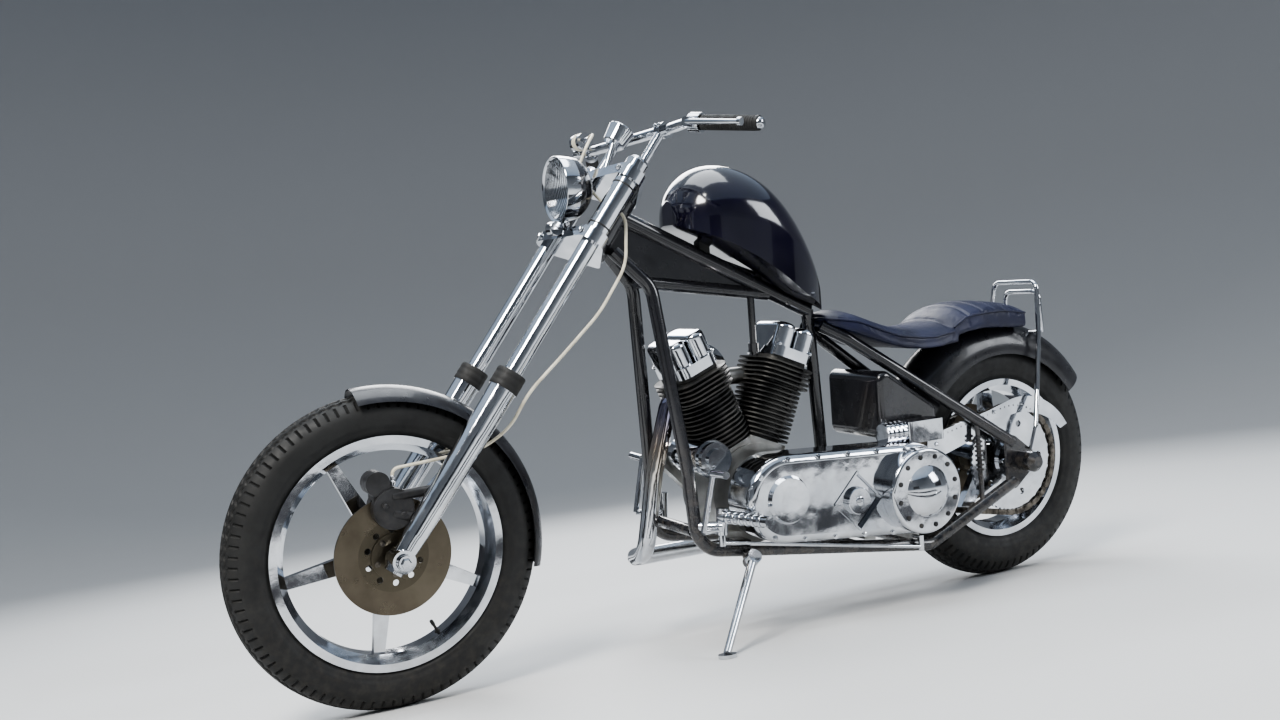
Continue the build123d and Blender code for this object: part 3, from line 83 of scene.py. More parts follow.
writeSize("cad")

# The motorcycle leans on its stand, so places are given upright in millimetres and turned here:
# x runs back from the rear axle, y to the right, z up from the ground.
leanAngle = math.radians(8)
leanTurn = Matrix.Rotation(leanAngle, 3, "X")
frontAxle = Vector((-1715, 0, 345))
rearAxle = Vector((0, 0, 330))
axleLow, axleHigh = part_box("front_axle")
carry = (axleLow + axleHigh) / 2 - leanTurn @ (frontAxle / 1000)
forkRake = math.radians(37.5)
forkUp = Vector((math.sin(forkRake), 0, math.cos(forkRake)))
forkBack = Vector((math.cos(forkRake), 0, -math.sin(forkRake)))
legSide = 120


def put(point):
    return leanTurn @ (Vector(point) / 1000) + carry


def aim(direction):
    return (leanTurn @ Vector(direction)).normalized()


def forkPoint(along, side=0.0, back=0.0):
    return frontAxle + forkUp * along + forkBack * back + Vector((0, side, 0))


# Finishes: dark and light colour, roughness from and to, and how much grain and dust each shows
finishes = {
    "chrome": dict(dark=(0.50, 0.52, 0.55), light=(0.74, 0.755, 0.785), rough=(0.035, 0.12), metal=1.0,
                   patch=9, grain=140, bump=0.05, dust=0.22, wave=0.10),
    "frame_black": dict(dark=(0.008, 0.008, 0.010), light=(0.016, 0.016, 0.020), rough=(0.16, 0.30), coat=0.8,
                        patch=12, grain=260, bump=0.06, dust=0.30),
    "tank_blue": dict(dark=(0.0015, 0.0015, 0.006), light=(0.004, 0.003, 0.014), rough=(0.12, 0.20), coat=0.9,
                      patch=6, grain=320, bump=0.03, dust=0.0),
    "barrel_black": dict(dark=(0.022, 0.022, 0.023), light=(0.085, 0.083, 0.078), rough=(0.38, 0.62),
                         metal=0.6, patch=16, grain=420, bump=0.35, dust=0.15),
    "case_aluminium": dict(dark=(0.30, 0.295, 0.28), light=(0.60, 0.60, 0.585), rough=(0.28, 0.48), metal=1.0,
                           patch=11, grain=380, bump=0.28, dust=0.25),
    "disc_steel": dict(dark=(0.075, 0.062, 0.047), light=(0.16, 0.138, 0.105), rough=(0.24, 0.40),
                       metal=1.0, patch=7, grain=500, bump=0.12, dust=0.12),
    "seat_blue": dict(dark=(0.003, 0.0045, 0.020), light=(0.0065, 0.009, 0.037), rough=(0.40, 0.58), patch=10,
                      grain=520, bump=0.55, dust=0.05),
    "rubber": dict(dark=(0.010, 0.010, 0.010), light=(0.024, 0.023, 0.022), rough=(0.55, 0.75), patch=22,
                   grain=600, bump=0.30, dust=0.15),
    "tyre": dict(dark=(0.006, 0.006, 0.006), light=(0.012, 0.012, 0.0115), rough=(0.50, 0.72), patch=14,
                 grain=420, bump=0.30, dust=0.06),
    "hose_cream": dict(dark=(0.52, 0.47, 0.36), light=(0.74, 0.70, 0.57), rough=(0.40, 0.58), patch=30,
                       grain=300, bump=0.12, dust=0.0),
    "chain_steel": dict(dark=(0.05, 0.045, 0.04), light=(0.20, 0.18, 0.155), rough=(0.30, 0.55), metal=1.0,
                        patch=60, grain=500, bump=0.25, dust=0.05),
    "trim_black": dict(dark=(0.010, 0.010, 0.011), light=(0.028, 0.028, 0.030), rough=(0.28, 0.48), patch=25,
                       grain=450, bump=0.18, dust=0.20),
    "lens_red": dict(dark=(0.22, 0.006, 0.006), light=(0.42, 0.014, 0.012), rough=(0.08, 0.18), coat=0.6,
                     patch=40, grain=200, bump=0.10, dust=0.0),
}
dustColour = (0.30, 0.25, 0.19, 1)


def link(tree, a, b):
    tree.links.new(a, b)


def setInputs(node, **values):
    for label, value in values.items():
        node.inputs[label.replace("_", " ")].default_value = value


def addNode(tree, kind, **settings):
    node = tree.nodes.new(kind)
    for key, value in settings.items():
        if key.startswith("in"):
            node.inputs[int(key[2:])].default_value = value
        else:
            setattr(node, key, value)
    return node


def noiseOf(tree, vector, scale, detail=4.0, dimensions="3D"):
    node = addNode(tree, "ShaderNodeTexNoise", noise_dimensions=dimensions)
    setInputs(node, Scale=scale, Detail=detail)
    link(tree, vector, node.inputs["W" if dimensions == "1D" else "Vector"])
    return node.outputs[0]


def ramp(tree, value, stops):
    node = addNode(tree, "ShaderNodeValToRGB")
    elements = node.color_ramp.elements
    while len(elements) < len(stops):
        elements.new(0.5)
    for element, (place, colour) in zip(elements, stops):
        element.position = place
        element.color = (*colour, 1) if len(colour) == 3 else colour
    link(tree, value, node.inputs[0])
    return node.outputs[0]


def remap(tree, value, low, high, to):
    node = addNode(tree, "ShaderNodeMapRange", clamp=True, in1=low, in2=high, in3=to[0], in4=to[1])
    link(tree, value, node.inputs[0])
    return node.outputs[0]


def feed(tree, socket, given):
    # A socket takes either a link or a plain value
    if isinstance(given, bpy.types.NodeSocket):
        link(tree, given, socket)
    else:
        socket.default_value = given


def times(tree, a, b):
    node = addNode(tree, "ShaderNodeMath", operation="MULTIPLY")
    feed(tree, node.inputs[0], a)
    feed(tree, node.inputs[1], b)
    return node.outputs[0]


def mixColour(tree, share, a, b):
    node = addNode(tree, "ShaderNodeMix", data_type="RGBA")
    for k, given in ((0, share), (6, a), (7, b)):
        feed(tree, node.inputs[k], given)
    return node.outputs[2]


def newMaterial(name):
    material = bpy.data.materials.new(name)
    material.use_nodes = True
    tree = material.node_tree
    where = addNode(tree, "ShaderNodeTexCoord").outputs["Object"]
    return material, tree, tree.nodes["Principled BSDF"], where


def distanceFrom(tree, where, place):
    node = addNode(tree, "ShaderNodeVectorMath", operation="DISTANCE", in1=place)
    link(tree, where, node.inputs[0])
    return node.outputs["Value"]


def addBump(tree, height, strength, distance):
    node = addNode(tree, "ShaderNodeBump")
    setInputs(node, Strength=strength, Distance=distance)
    link(tree, height, node.inputs["Height"])
    return node


def makeFinish(name, look, rings=None, heat=None, core=None):
    # rings is a centre round which the grain runs, core the radius and colour of its middle;
    # heat is (place, reach)
    material, tree, shader, where = newMaterial(name)
    patch = noiseOf(tree, where, look["patch"], 5)
    if rings is not None:
        far = distanceFrom(tree, where, rings)
        grain = noiseOf(tree, far, look["grain"] * 2.0, 2, "1D")
    else:
        grain = noiseOf(tree, where, look["grain"], 3)
    colour = ramp(tree, patch, [(0.34, look["dark"]), (0.64, look["light"])])
    rough = remap(tree, noiseOf(tree, where, look["patch"] * 3.1, 6), 0.30, 0.70, look["rough"])
    if core is not None:
        share = remap(tree, far, core[0], core[0] + 0.0012, (1.0, 0.0))
        colour = mixColour(tree, share, colour, (*core[1], 1.0))
    if heat is not None:
        near = remap(tree, distanceFrom(tree, where, heat[0]), 0.0, heat[1], (1.0, 0.0))
        tint = ramp(tree, near, [(0.0, look["light"]), (0.30, (0.72, 0.62, 0.42)), (0.55, (0.52, 0.36, 0.20)),
                                 (0.78, (0.26, 0.24, 0.36)), (1.0, (0.20, 0.19, 0.20))])
        colour = mixColour(tree, near, colour, tint)
    if look["dust"] > 0:
        up = addNode(tree, "ShaderNodeSeparateXYZ")
        link(tree, where, up.inputs[0])
        low = remap(tree, up.outputs["Z"], 0.02, 0.55, (1.0, 0.0))
        speck = remap(tree, noiseOf(tree, where, look["patch"] * 5.0, 8), 0.42, 0.72, (0.0, 1.0))
        share = times(tree, times(tree, low, speck), look["dust"])
        colour = mixColour(tree, share, colour, dustColour)
        more = addNode(tree, "ShaderNodeMath", operation="ADD", use_clamp=True)
        link(tree, rough, more.inputs[0])
        link(tree, times(tree, share, 0.6), more.inputs[1])
        rough = more.outputs[0]
    bump = addBump(tree, grain, look["bump"], 0.0008)
    if look.get("wave"):
        swell = addBump(tree, noiseOf(tree, where, 14, 2), look["wave"], 0.01)
        link(tree, swell.outputs[0], bump.inputs["Normal"])
    link(tree, bump.outputs[0], shader.inputs["Normal"])
    link(tree, colour, shader.inputs["Base Color"])
    link(tree, rough, shader.inputs["Roughness"])
    setInputs(shader, Metallic=look.get("metal", 0.0), Coat_Weight=look.get("coat", 0.0), Coat_Roughness=0.04)
    return material


def makeGlass(name, tint, rough, flutes):
    material, tree, shader, where = newMaterial(name)
    setInputs(shader, Transmission_Weight=1.0, IOR=1.45)
    smear = noiseOf(tree, where, 40, 5)
    link(tree, remap(tree, smear, 0.3, 0.7, rough), shader.inputs["Roughness"])
    tone = ramp(tree, smear, [(0.3, tuple(c * 0.94 for c in tint)), (0.7, tint)])
    link(tree, tone, shader.inputs["Base Color"])
    wave = addNode(tree, "ShaderNodeTexWave", wave_type="BANDS", bands_direction="Y")
    setInputs(wave, Scale=42.0)
    link(tree, where, wave.inputs["Vector"])
    link(tree, addBump(tree, wave.outputs["Fac"], flutes, 0.002).outputs[0], shader.inputs["Normal"])
    return material


materials = {}
for finishName, look in finishes.items():
    materials[finishName] = makeFinish(finishName, look)
materials["lens"] = makeGlass("lens", (0.97, 0.98, 0.99), (0.0, 0.05), 0.25)
# Finishes made from one of the above with a few values changed
variants = (
    ("fender_black", "frame_black", dict(rough=(0.24, 0.40), coat=0.25, dust=0.12)),
    ("reflector", "chrome", dict(rough=(0.02, 0.08), dust=0.0, bump=0.02)),
    ("dial_white", "trim_black", dict(dark=(0.62, 0.6, 0.55), light=(0.8, 0.79, 0.75))),
)
for variantName, baseName, changes in variants:
    materials[variantName] = makeFinish(variantName, dict(finishes[baseName], **changes))
carrier = (0.076, (0.11, 0.096, 0.072))
for discName, discAt in (("disc_front", (-1715, -66, 345)), ("disc_rear", (0, 84, 330))):
    materials[discName] = makeFinish(discName, finishes["disc_steel"], rings=put(discAt), core=carrier)
headerLook = dict(finishes["chrome"], dust=0.3)
materials["header_front"] = makeFinish("header_front", headerLook, heat=(put((-950, 30, 610)), 0.34))
materials["header_rear"] = makeFinish("header_rear", headerLook, heat=(put((-660, 45, 605)), 0.30))

# Every CAD node takes the finish of its slot in the record
slotOf = {row["node"]: row["material_slot"] for row in frame["record"]["subparts"]}
special = {"front_disc": "disc_front", "rear_disc": "disc_rear", "exhaust_front": "header_front",
           "exhaust_rear": "header_rear", "rear_axle": "frame_black", "engine_steady": "frame_black",
           "front_fender": "fender_black", "rear_fender": "fender_black", "tail_lamp": "chrome"}


def dress(obj, materialName):
    obj.data.materials.clear()
    obj.data.materials.append(materials[materialName])


for nodeName, node in frame["nodes"].items():
    dress(node, special.get(nodeName, slotOf[nodeName]))
report("finishes")


def keepPiece(obj, body, materialName, angle=35):
    dress(obj, materialName)
    obj.data.shade_smooth()
    if angle:
        obj.data.set_sharp_from_angle(angle=math.radians(angle))
    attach(obj, body)
    return obj


def newObject(name, data):
    obj = bpy.data.objects.new(name, data)
    bpy.context.scene.collection.objects.link(obj)
    return obj


def meshPiece(name, verts, faces):
    mesh = bpy.data.meshes.new(name)
    mesh.from_pydata([tuple(v) for v in verts], [], faces)
    mesh.update()
    return newObject(name, mesh)


def ringFaces(rows, steps, closed):
    # Four-sided faces between rings of steps points each, and back to the first ring when closed
    faces = []
    for i in range(rows if closed else rows - 1):
        j = (i + 1) % rows
        for k in range(steps):
            n = (k + 1) % steps
            faces.append((i * steps + k, i * steps + n, j * steps + n, j * steps + k))
    return faces


def cleanMesh(obj, reach=0.0, thin=0.0):
    # Merges points within reach, takes out edges shorter than thin and turns all faces outward
    work = bmesh.new()
    work.from_mesh(obj.data)
    if reach:
        bmesh.ops.remove_doubles(work, verts=work.verts, dist=reach)
    if thin:
        bmesh.ops.dissolve_degenerate(work, edges=work.edges, dist=thin)
    bmesh.ops.recalc_face_normals(work, faces=work.faces)
    work.to_mesh(obj.data)
    work.free()


def squareTo(axis):
    axis = Vector(axis).normalized()
    other = Vector((0, 0, 1)) if abs(axis.z) < 0.9 else Vector((1, 0, 0))
    side = axis.cross(other).normalized()
    return axis, side, axis.cross(side).normalized()


def onCircle(side, other, a, radius):
    return (side * math.cos(a) + other * math.sin(a)) * radius


def lathe(centre, axis, outline, steps=64, closed=False):
    # Turns (along, radius) pairs in millimetres round an axis of the upright motorcycle
    axis, side, other = squareTo(axis)
    centre = Vector(centre)
    verts = []
    for along, radius in outline:
        for k in range(steps):
            a = 2 * math.pi * k / steps
            verts.append(put(centre + axis * along + onCircle(side, other, a, radius)))
    return verts, ringFaces(len(outline), steps, closed)


def turnedPiece(name, parts, body, materialName, steps=64, angle=35):
    # parts is a list of (centre, axis, outline, closed)
    verts, faces = [], []
    for centre, axis, outline, closed in parts:
        more, rings = lathe(centre, axis, outline, steps, closed)
        faces += [tuple(i + len(verts) for i in f) for f in rings]
        verts += more
    obj = meshPiece(name, verts, faces)
    cleanMesh(obj, 1e-6, 1e-7)
    return keepPiece(obj, body, materialName, angle)


# Tyres: the CAD tyre's own section with grooves cut into its crown
tyres = {
    "front_tyre": dict(centre=frontAxle, radius=345, half=52, beadHalf=37.7, rim=255, body="front_wheel",
                       ribs=(-26, -9, 9, 26), ribHalf=2.4, depth=4.0, zigzag=3.0, waves=92, blockStart=36,
                       blockEnd=62, blocks=92),
    "rear_tyre": dict(centre=rearAxle, radius=330, half=66, beadHalf=49.7, rim=217, body="rear_wheel",
                      ribs=(-34, -17, 0, 17, 34), ribHalf=2.8, depth=5.0, zigzag=3.6, waves=76, blockStart=44,
                      blockEnd=68, blocks=76),
}
beadRise, beadDrop, grooveEdge = 1.5, 11.7, 0.8


def tyreOutline(t):
    # Rows of (across, radius, crown angle or None) from bead to bead
    low = t["rim"] + beadRise
    shoulder = t["radius"] - t["half"]
    gap = t["half"] - t["beadHalf"]
    rise = shoulder - low
    arc = (gap * gap + rise * rise) / (2 * gap)
    turn = math.asin(rise / arc)
    rows = []
    for k in range(11):
        a = turn * (1 - k / 10)
        rows.append((t["half"] - arc + arc * math.cos(a), shoulder - arc * math.sin(a), None))
    for lift, k in ((1.2, 2), (1.2, 3), (0.8, 6), (0.8, 7)):
        rows[k] = (rows[k][0] + lift, rows[k][1], None)
    side = [(-y, r, None) for y, r, _ in rows]
    crown = []
    steps = 96
    for k in range(1, steps):
        a = math.pi / 2 * (2 * k / steps - 1)
        crown.append((t["half"] * math.sin(a), shoulder + t["half"] * math.cos(a), math.degrees(a)))
    back = [(y, t["rim"] - beadDrop, None) for y in (t["beadHalf"], -t["beadHalf"])]
    return side + crown + rows[::-1] + back


for nodeName, t in tyres.items():
    outline = tyreOutline(t)
    steps = t["waves"] * 6
    verts = []
    for i, (across, radius, angle) in enumerate(outline):
        for k in range(steps):
            turn = 2 * math.pi * k / steps
            cut = 0.0
            if angle is not None:
                wave = t["zigzag"] * (2 * abs((k * t["waves"] / steps) % 1 * 2 - 1) - 1)
                for rib in t["ribs"]:
                    off = abs(math.radians(angle - rib) * t["half"] - wave)
                    cut = max(cut, min(1.0, (t["ribHalf"] + grooveEdge - off) / grooveEdge))
                if t["blockStart"] < abs(angle) < t["blockEnd"] and (k + (3 if angle > 0 else 0)) % 6 == 0:
                    cut = 1.0
                cut *= t["depth"]
            steep = math.radians(angle or 0)
            reach, y = radius - cut * math.cos(steep), across - cut * math.sin(steep)
            verts.append(put(t["centre"] + Vector((math.cos(turn) * reach, y, math.sin(turn) * reach))))
    tyre = meshPiece(nodeName.replace("_tyre", "_tread"), verts, ringFaces(len(outline), steps, True))
    cleanMesh(tyre)
    keepPiece(tyre, t["body"], "tyre", 40)
    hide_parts(nodeName)
report("tyres")


def paintedOut(tree, given, out, instances):
    # The end of each tree: the instances made real, in the finish that the tree is given
    real = addNode(tree, "GeometryNodeRealizeInstances")
    link(tree, instances, real.inputs[0])
    paint = addNode(tree, "GeometryNodeSetMaterial")
    link(tree, real.outputs[0], paint.inputs["Geometry"])
    link(tree, given.outputs["Finish"], paint.inputs["Material"])
    link(tree, paint.outputs[0], out.inputs[0])


def newTree(name, wanted, made):
    # A Geometry Nodes tree with the inputs wanted, each a (label, kind, default), and one output
    tree = bpy.data.node_groups.new(name, "GeometryNodeTree")
    sockets = {}
    for label, kind, default in wanted:
        item = tree.interface.new_socket(name=label, in_out="INPUT", socket_type="NodeSocket" + kind)
        if default is not None:
            item.default_value = default
        sockets[label] = item.identifier
    tree.interface.new_socket(name=made, in_out="OUTPUT", socket_type="NodeSocketGeometry")
    return tree, sockets, addNode(tree, "NodeGroupInput"), addNode(tree, "NodeGroupOutput")


def storedVector(tree, name):
    node = addNode(tree, "GeometryNodeInputNamedAttribute", data_type="FLOAT_VECTOR")
    setInputs(node, Name=name)
    return node.outputs[0]


# Shares of the head's radius and height that a bolt's washer and dome take
boltShape = dict(washerWide=1.35, domeTop=0.72, thin=0.3, washerSides=20)


# Scatter: a Geometry Nodes tree that sets one bolt on each point and turns it along the point's aim
def scatterTree():
    wanted = (("Points", "Geometry", None), ("Head radius", "Float", 0.005), ("Head height", "Float", 0.004),
              ("Sides", "Int", 6), ("Finish", "Material", None))
    tree, sockets, given, out = newTree("setBolts", wanted, "Bolts")
    head = addNode(tree, "GeometryNodeMeshCylinder")
    washer = addNode(tree, "GeometryNodeMeshCylinder")
    dome = addNode(tree, "GeometryNodeMeshCone")
    radius, height, sides = (given.outputs[label] for label in ("Head radius", "Head height", "Sides"))
    thin = times(tree, height, boltShape["thin"])
    rise = addNode(tree, "ShaderNodeCombineXYZ")
    for node, label, value in (
            (head, "Vertices", sides), (head, "Radius", radius), (head, "Depth", height),
            (washer, "Vertices", boltShape["washerSides"]), (washer, "Depth", thin),
            (washer, "Radius", times(tree, radius, boltShape["washerWide"])),
            (dome, "Vertices", sides), (dome, "Radius Bottom", radius), (dome, "Depth", thin),
            (dome, "Radius Top", times(tree, radius, boltShape["domeTop"])),
            (rise, "Z", times(tree, height, 0.5))):
        feed(tree, node.inputs[label], value)
    moved = addNode(tree, "GeometryNodeTransform")
    link(tree, dome.outputs["Mesh"], moved.inputs["Geometry"])
    link(tree, rise.outputs[0], moved.inputs["Translation"])
    joined = addNode(tree, "GeometryNodeJoinGeometry")
    for piece in (moved.outputs[0], head.outputs["Mesh"], washer.outputs["Mesh"]):
        link(tree, piece, joined.inputs[0])
    turn = addNode(tree, "FunctionNodeAlignRotationToVector", axis="Z")
    link(tree, storedVector(tree, "aim"), turn.inputs["Vector"])
    onPoints = addNode(tree, "GeometryNodeInstanceOnPoints")
    link(tree, given.outputs["Points"], onPoints.inputs["Points"])
    link(tree, joined.outputs[0], onPoints.inputs["Instance"])
    link(tree, turn.outputs[0], onPoints.inputs["Rotation"])
    paintedOut(tree, given, out, onPoints.outputs[0])
    return tree, sockets


boltTree, boltSockets = scatterTree()


def bake(obj):
    view = bpy.context.evaluated_depsgraph_get()
    result = bpy.data.meshes.new_from_object(obj.evaluated_get(view))
    obj.modifiers.clear()
    old = obj.data
    obj.data = result
    result.name = obj.name
    bpy.data.meshes.remove(old)
    return obj


def runTree(obj, tree, sockets, settings):
    modifier = obj.modifiers.new("work", "NODES")
    modifier.node_group = tree
    for label, value in settings.items():
        modifier[sockets[label]] = value
    return bake(obj)


def storeVectors(obj, name, vectors):
    data = obj.data.attributes.new(name, "FLOAT_VECTOR", "POINT")
    data.data.foreach_set("vector", [c for v in vectors for c in v])


def boltPiece(name, body, spots, radius, height, finish="chrome", sides=6):
    # spots is a list of (upright place, upright direction)
    obj = meshPiece(name, [put(p) + aim(d) * (height * 0.0004) for p, d in spots], [])
    storeVectors(obj, "aim", [aim(d) for _, d in spots])
    runTree(obj, boltTree, boltSockets, {"Head radius": radius / 1000, "Head height": height / 1000,
                                         "Sides": sides, "Finish": materials[finish]})
    return keepPiece(obj, body, finish, 30)


def ringSpots(centre, radius, count, direction, start=0.0):
    axis, side, other = squareTo(direction)
    found = []
    for k in range(count):
        a = math.radians(start) + 2 * math.pi * k / count
        found.append((Vector(centre) + onCircle(side, other, a, radius), direction))
    return found


left, right = (0, -1, 0), (0, 1, 0)
primaryFace, clutchFace = -212, -256
engineAt = Vector((-806, 0, 350))
clutchAt = Vector((-427, 0, 322))


def beltPath(a, ra, b, rb, y, stepsA, stepsB):
    # The closed line round two circles, as a belt lies on them
    tilt = math.acos((ra - rb) / math.hypot(b.x - a.x, b.z - a.z))
    base = math.atan2(b.z - a.z, b.x - a.x)
    path = []
    for middle, radius, start, sweep, steps in ((a, ra, base + tilt, 2 * math.pi - 2 * tilt, stepsA),
                                                (b, rb, base - tilt, 2 * tilt, stepsB)):
        for k in range(steps + 1):
            ang = start + sweep * k / steps
            path.append(Vector((middle.x + radius * math.cos(ang), y, middle.z + radius * math.sin(ang))))
    return path + [path[0]]


def pathLength(path):
    return sum((q - p).length for p, q in zip(path, path[1:]))


def evenPoints(path, count):
    total = pathLength(path)
    found = []
    for k in range(count):
        want = total * k / count
        for p, q in zip(path, path[1:]):
            step = (q - p).length
            if want <= step:
                found.append(p.lerp(q, want / step))
                break
            want -= step
    return found


def hullSpots(a, ra, b, rb, inset, count, y, direction):
    # Points evenly along the outline round two circles, set in from it
    path = beltPath(a, ra - inset, b, rb - inset, y, 32, 32)
    return [(place, direction) for place in evenPoints(path, count)]


boltPiece("primary_screws", "frame", hullSpots(engineAt, 105, clutchAt, 113, 10, 16, primaryFace + 2, left),
          5.0, 4.0)
boltPiece("clutch_screws", "frame", ringSpots((-427, clutchFace, 322), 87, 12, left, 12), 4.6, 3.4,
          "trim_black")
boltPiece("front_carrier_bolts", "front_wheel", ringSpots((-1715, -72, 345), 39, 5, left, 18), 5.0, 4.0,
          "chain_steel")
boltPiece("rear_sprocket_bolts", "rear_wheel", ringSpots((0, -101.2, 330), 41, 6, left, 0), 6.5, 5.0)
guardSpots = [((-60, -101, 466), left), ((40, -101, 478), left), ((-262, -101, 404), left)]
boltPiece("guard_bolts", "frame", guardSpots, 5.0, 4.0)
camSpots = hullSpots(engineAt, 74, Vector((-944, 0, 438)), 36, 7, 11, 118, right)
camSpots = [(p, d) for p, d in camSpots if (p - Vector((-814, 118, 360))).length > 63]
boltPiece("cam_cover_screws", "frame", camSpots, 5.0, 4.0)
boltPiece("gearbox_screws", "frame", ringSpots((-427, 101, 322), 38, 6, right), 5.0, 4.0)
treeBolts = []
for along in (815, 985):
    treeBolts += [(forkPoint(along, legSide * side, -33), -forkBack) for side in (-1, 1)]
boltPiece("pinch_bolts", "fork", treeBolts, 6.0, 6.0)
headBolts = []
cylinderLean = math.radians(22.5)
for leanSide in (-1, 1):
    up = Vector((math.sin(cylinderLean) * leanSide, 0, math.cos(cylinderLean)))
    out = up.cross(Vector(right))
    for y in (-66, 66):
        headBolts += [(engineAt + up * 366 + Vector((0, y, 0)) + out * away, up) for away in (-47, 47)]
boltPiece("rocker_bolts", "frame", headBolts, 5.5, 6.0)
report("bolts")


# Chain: inner and outer links along the CAD chain's loop
chain = dict(y=-90.0, teethFront=24, teethRear=58, pitch=15.875, plate=2.6, inner=4.9, roller=5.0, pin=2.6,
             round=7.2, waist=0.62)


def chainLoop():
    rearRadius = chain["pitch"] / 2 / math.sin(math.pi / chain["teethRear"])
    frontRadius = chain["pitch"] / 2 / math.sin(math.pi / chain["teethFront"])
    path = beltPath(clutchAt, frontRadius, rearAxle, rearRadius, chain["y"], 60, 90)
    return evenPoints(path, 2 * round(pathLength(path) / chain["pitch"] / 2))


def linkMesh(name, offset, withRollers):
    work = bmesh.new()
    half = chain["pitch"] / 2
    for side in (-1, 1):
        ring = []
        for k in range(40):
            a = 2 * math.pi * k / 40
            x = math.cos(a)
            px = (half if x > 0 else -half) + chain["round"] * x
            pz = chain["round"] * math.sin(a)
            if abs(px) < half:
                pz *= chain["waist"] + (1 - chain["waist"]) * (abs(px) / half) ** 2
            ring.append((px, pz))
        near, far = offset * side, (offset + chain["plate"]) * side
        lowRow = [work.verts.new((x / 1000, near / 1000, z / 1000)) for x, z in ring]
        highRow = [work.verts.new((x / 1000, far / 1000, z / 1000)) for x, z in ring]
        work.faces.new(lowRow)
        work.faces.new(highRow)
        for k in range(40):
            n = (k + 1) % 40
            work.faces.new((lowRow[k], lowRow[n], highRow[n], highRow[k]))
    reach = chain["inner"] if withRollers else offset + chain["plate"] + 1.0
    radius = chain["roller"] if withRollers else chain["pin"]
    for cx in (-half, half):
        turn = Matrix.Translation((cx / 1000, 0, 0)) @ Matrix.Rotation(math.pi / 2, 4, "X")
        bmesh.ops.create_cone(work, cap_ends=True, segments=16, radius1=radius / 1000, radius2=radius / 1000,
                              depth=2 * reach / 1000, matrix=turn)
    bmesh.ops.recalc_face_normals(work, faces=work.faces)
    mesh = bpy.data.meshes.new(name)
    work.to_mesh(mesh)
    work.free()
    return newObject(name, mesh)


def linkTree():
    wanted = (("Middles", "Geometry", None), ("Link", "Object", None), ("Finish", "Material", None))
    tree, sockets, given, out = newTree("layLinks", wanted, "Chain")
    shape = addNode(tree, "GeometryNodeObjectInfo")
    link(tree, given.outputs["Link"], shape.inputs["Object"])
    first = addNode(tree, "FunctionNodeAlignRotationToVector", axis="X")
    link(tree, storedVector(tree, "along"), first.inputs["Vector"])
    second = addNode(tree, "FunctionNodeAlignRotationToVector", axis="Y", pivot_axis="X")
    link(tree, first.outputs[0], second.inputs["Rotation"])
    link(tree, storedVector(tree, "aim"), second.inputs["Vector"])
    onPoints = addNode(tree, "GeometryNodeInstanceOnPoints")
    link(tree, given.outputs["Middles"], onPoints.inputs["Points"])
    link(tree, shape.outputs["Geometry"], onPoints.inputs["Instance"])
    link(tree, second.outputs[0], onPoints.inputs["Rotation"])
    paintedOut(tree, given, out, onPoints.outputs[0])
    return tree, sockets


layTree, laySockets = linkTree()
pins = chainLoop()
for kind, first in (("inner", 0), ("outer", 1)):
    middles, alongs = [], []
    for k in range(first, len(pins), 2):
        a, b = pins[k], pins[(k + 1) % len(pins)]
        middles.append((a + b) / 2)
        alongs.append(aim(b - a))
    offset = chain["inner"] - 0.2 if kind == "inner" else chain["inner"] + chain["plate"] - 0.1
    shape = linkMesh(f"{kind}_link", offset, kind == "inner")
    obj = meshPiece(f"chain_{kind}", [put(m) for m in middles], [])
    storeVectors(obj, "aim", [aim(right)] * len(middles))
    storeVectors(obj, "along", alongs)
    runTree(obj, layTree, laySockets, {"Link": shape, "Finish": materials["chain_steel"]})
    bpy.data.objects.remove(shape)
    keepPiece(obj, "frame", "chain_steel", 30)
    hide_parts("drive_chain")
report("chain")


def tubePiece(name, points, radius, body, materialName):
    # points are in the scene's own metres
    curve = bpy.data.curves.new(name + "_line", "CURVE")
    curve.dimensions = "3D"
    curve.bevel_depth = radius / 1000
    curve.bevel_resolution = 4
    curve.use_fill_caps = True
    spline = curve.splines.new("POLY")
    spline.points.add(len(points) - 1)
    spline.points.foreach_set("co", [c for p in points for c in (*p, 1.0)])
    line = newObject(name + "_line", curve)
    view = bpy.context.evaluated_depsgraph_get()
    mesh = bpy.data.meshes.new_from_object(line.evaluated_get(view))
    bpy.data.objects.remove(line)
    mesh.name = name
    obj = newObject(name, mesh)
    cleanMesh(obj, 1e-6)
    return keepPiece(obj, body, materialName, 50)


# Seat: a padded cover puffed by cloth pressure, with pressed channels in the pillion and piping
seat = dict(voxel=0.0055, soften=8, pressure=4.0, frames=20, mostMove=0.006, heldBelow=-0.35,
            channels=(-146, -98, -50, -2, 46), channelsFrom=-175, channelHalf=8.0, channelDepth=3.2,
            piping=3.0, fill=0.75)
# x, half width and welt height of the saddle and of the pillion
saddleRows = ((-556, 52, 758), (-480, 96, 746), (-380, 130, 704), (-270, 138, 692), (-205, 133, 699))
pillionRows = ((-196, 122, 710), (-150, 122, 734), (0, 112, 737), (86, 88, 725))


def plainCopy(nodeName, name):
    mesh = frame["nodes"][nodeName].data.copy()
    mesh.name = name
    obj = newObject(name, mesh)
    cleanMesh(obj, 1e-5)
    return obj


def readVerts(mesh, what="co"):
    values = np.empty(len(mesh.vertices) * 3)
    mesh.vertices.foreach_get(what, values)
    return values.reshape(-1, 3)


def writeVerts(mesh, places):
    mesh.vertices.foreach_set("co", places.ravel())
    mesh.update()


def uprightOf(places):
    return (places - np.array(carry)) @ np.array(leanTurn) * 1000


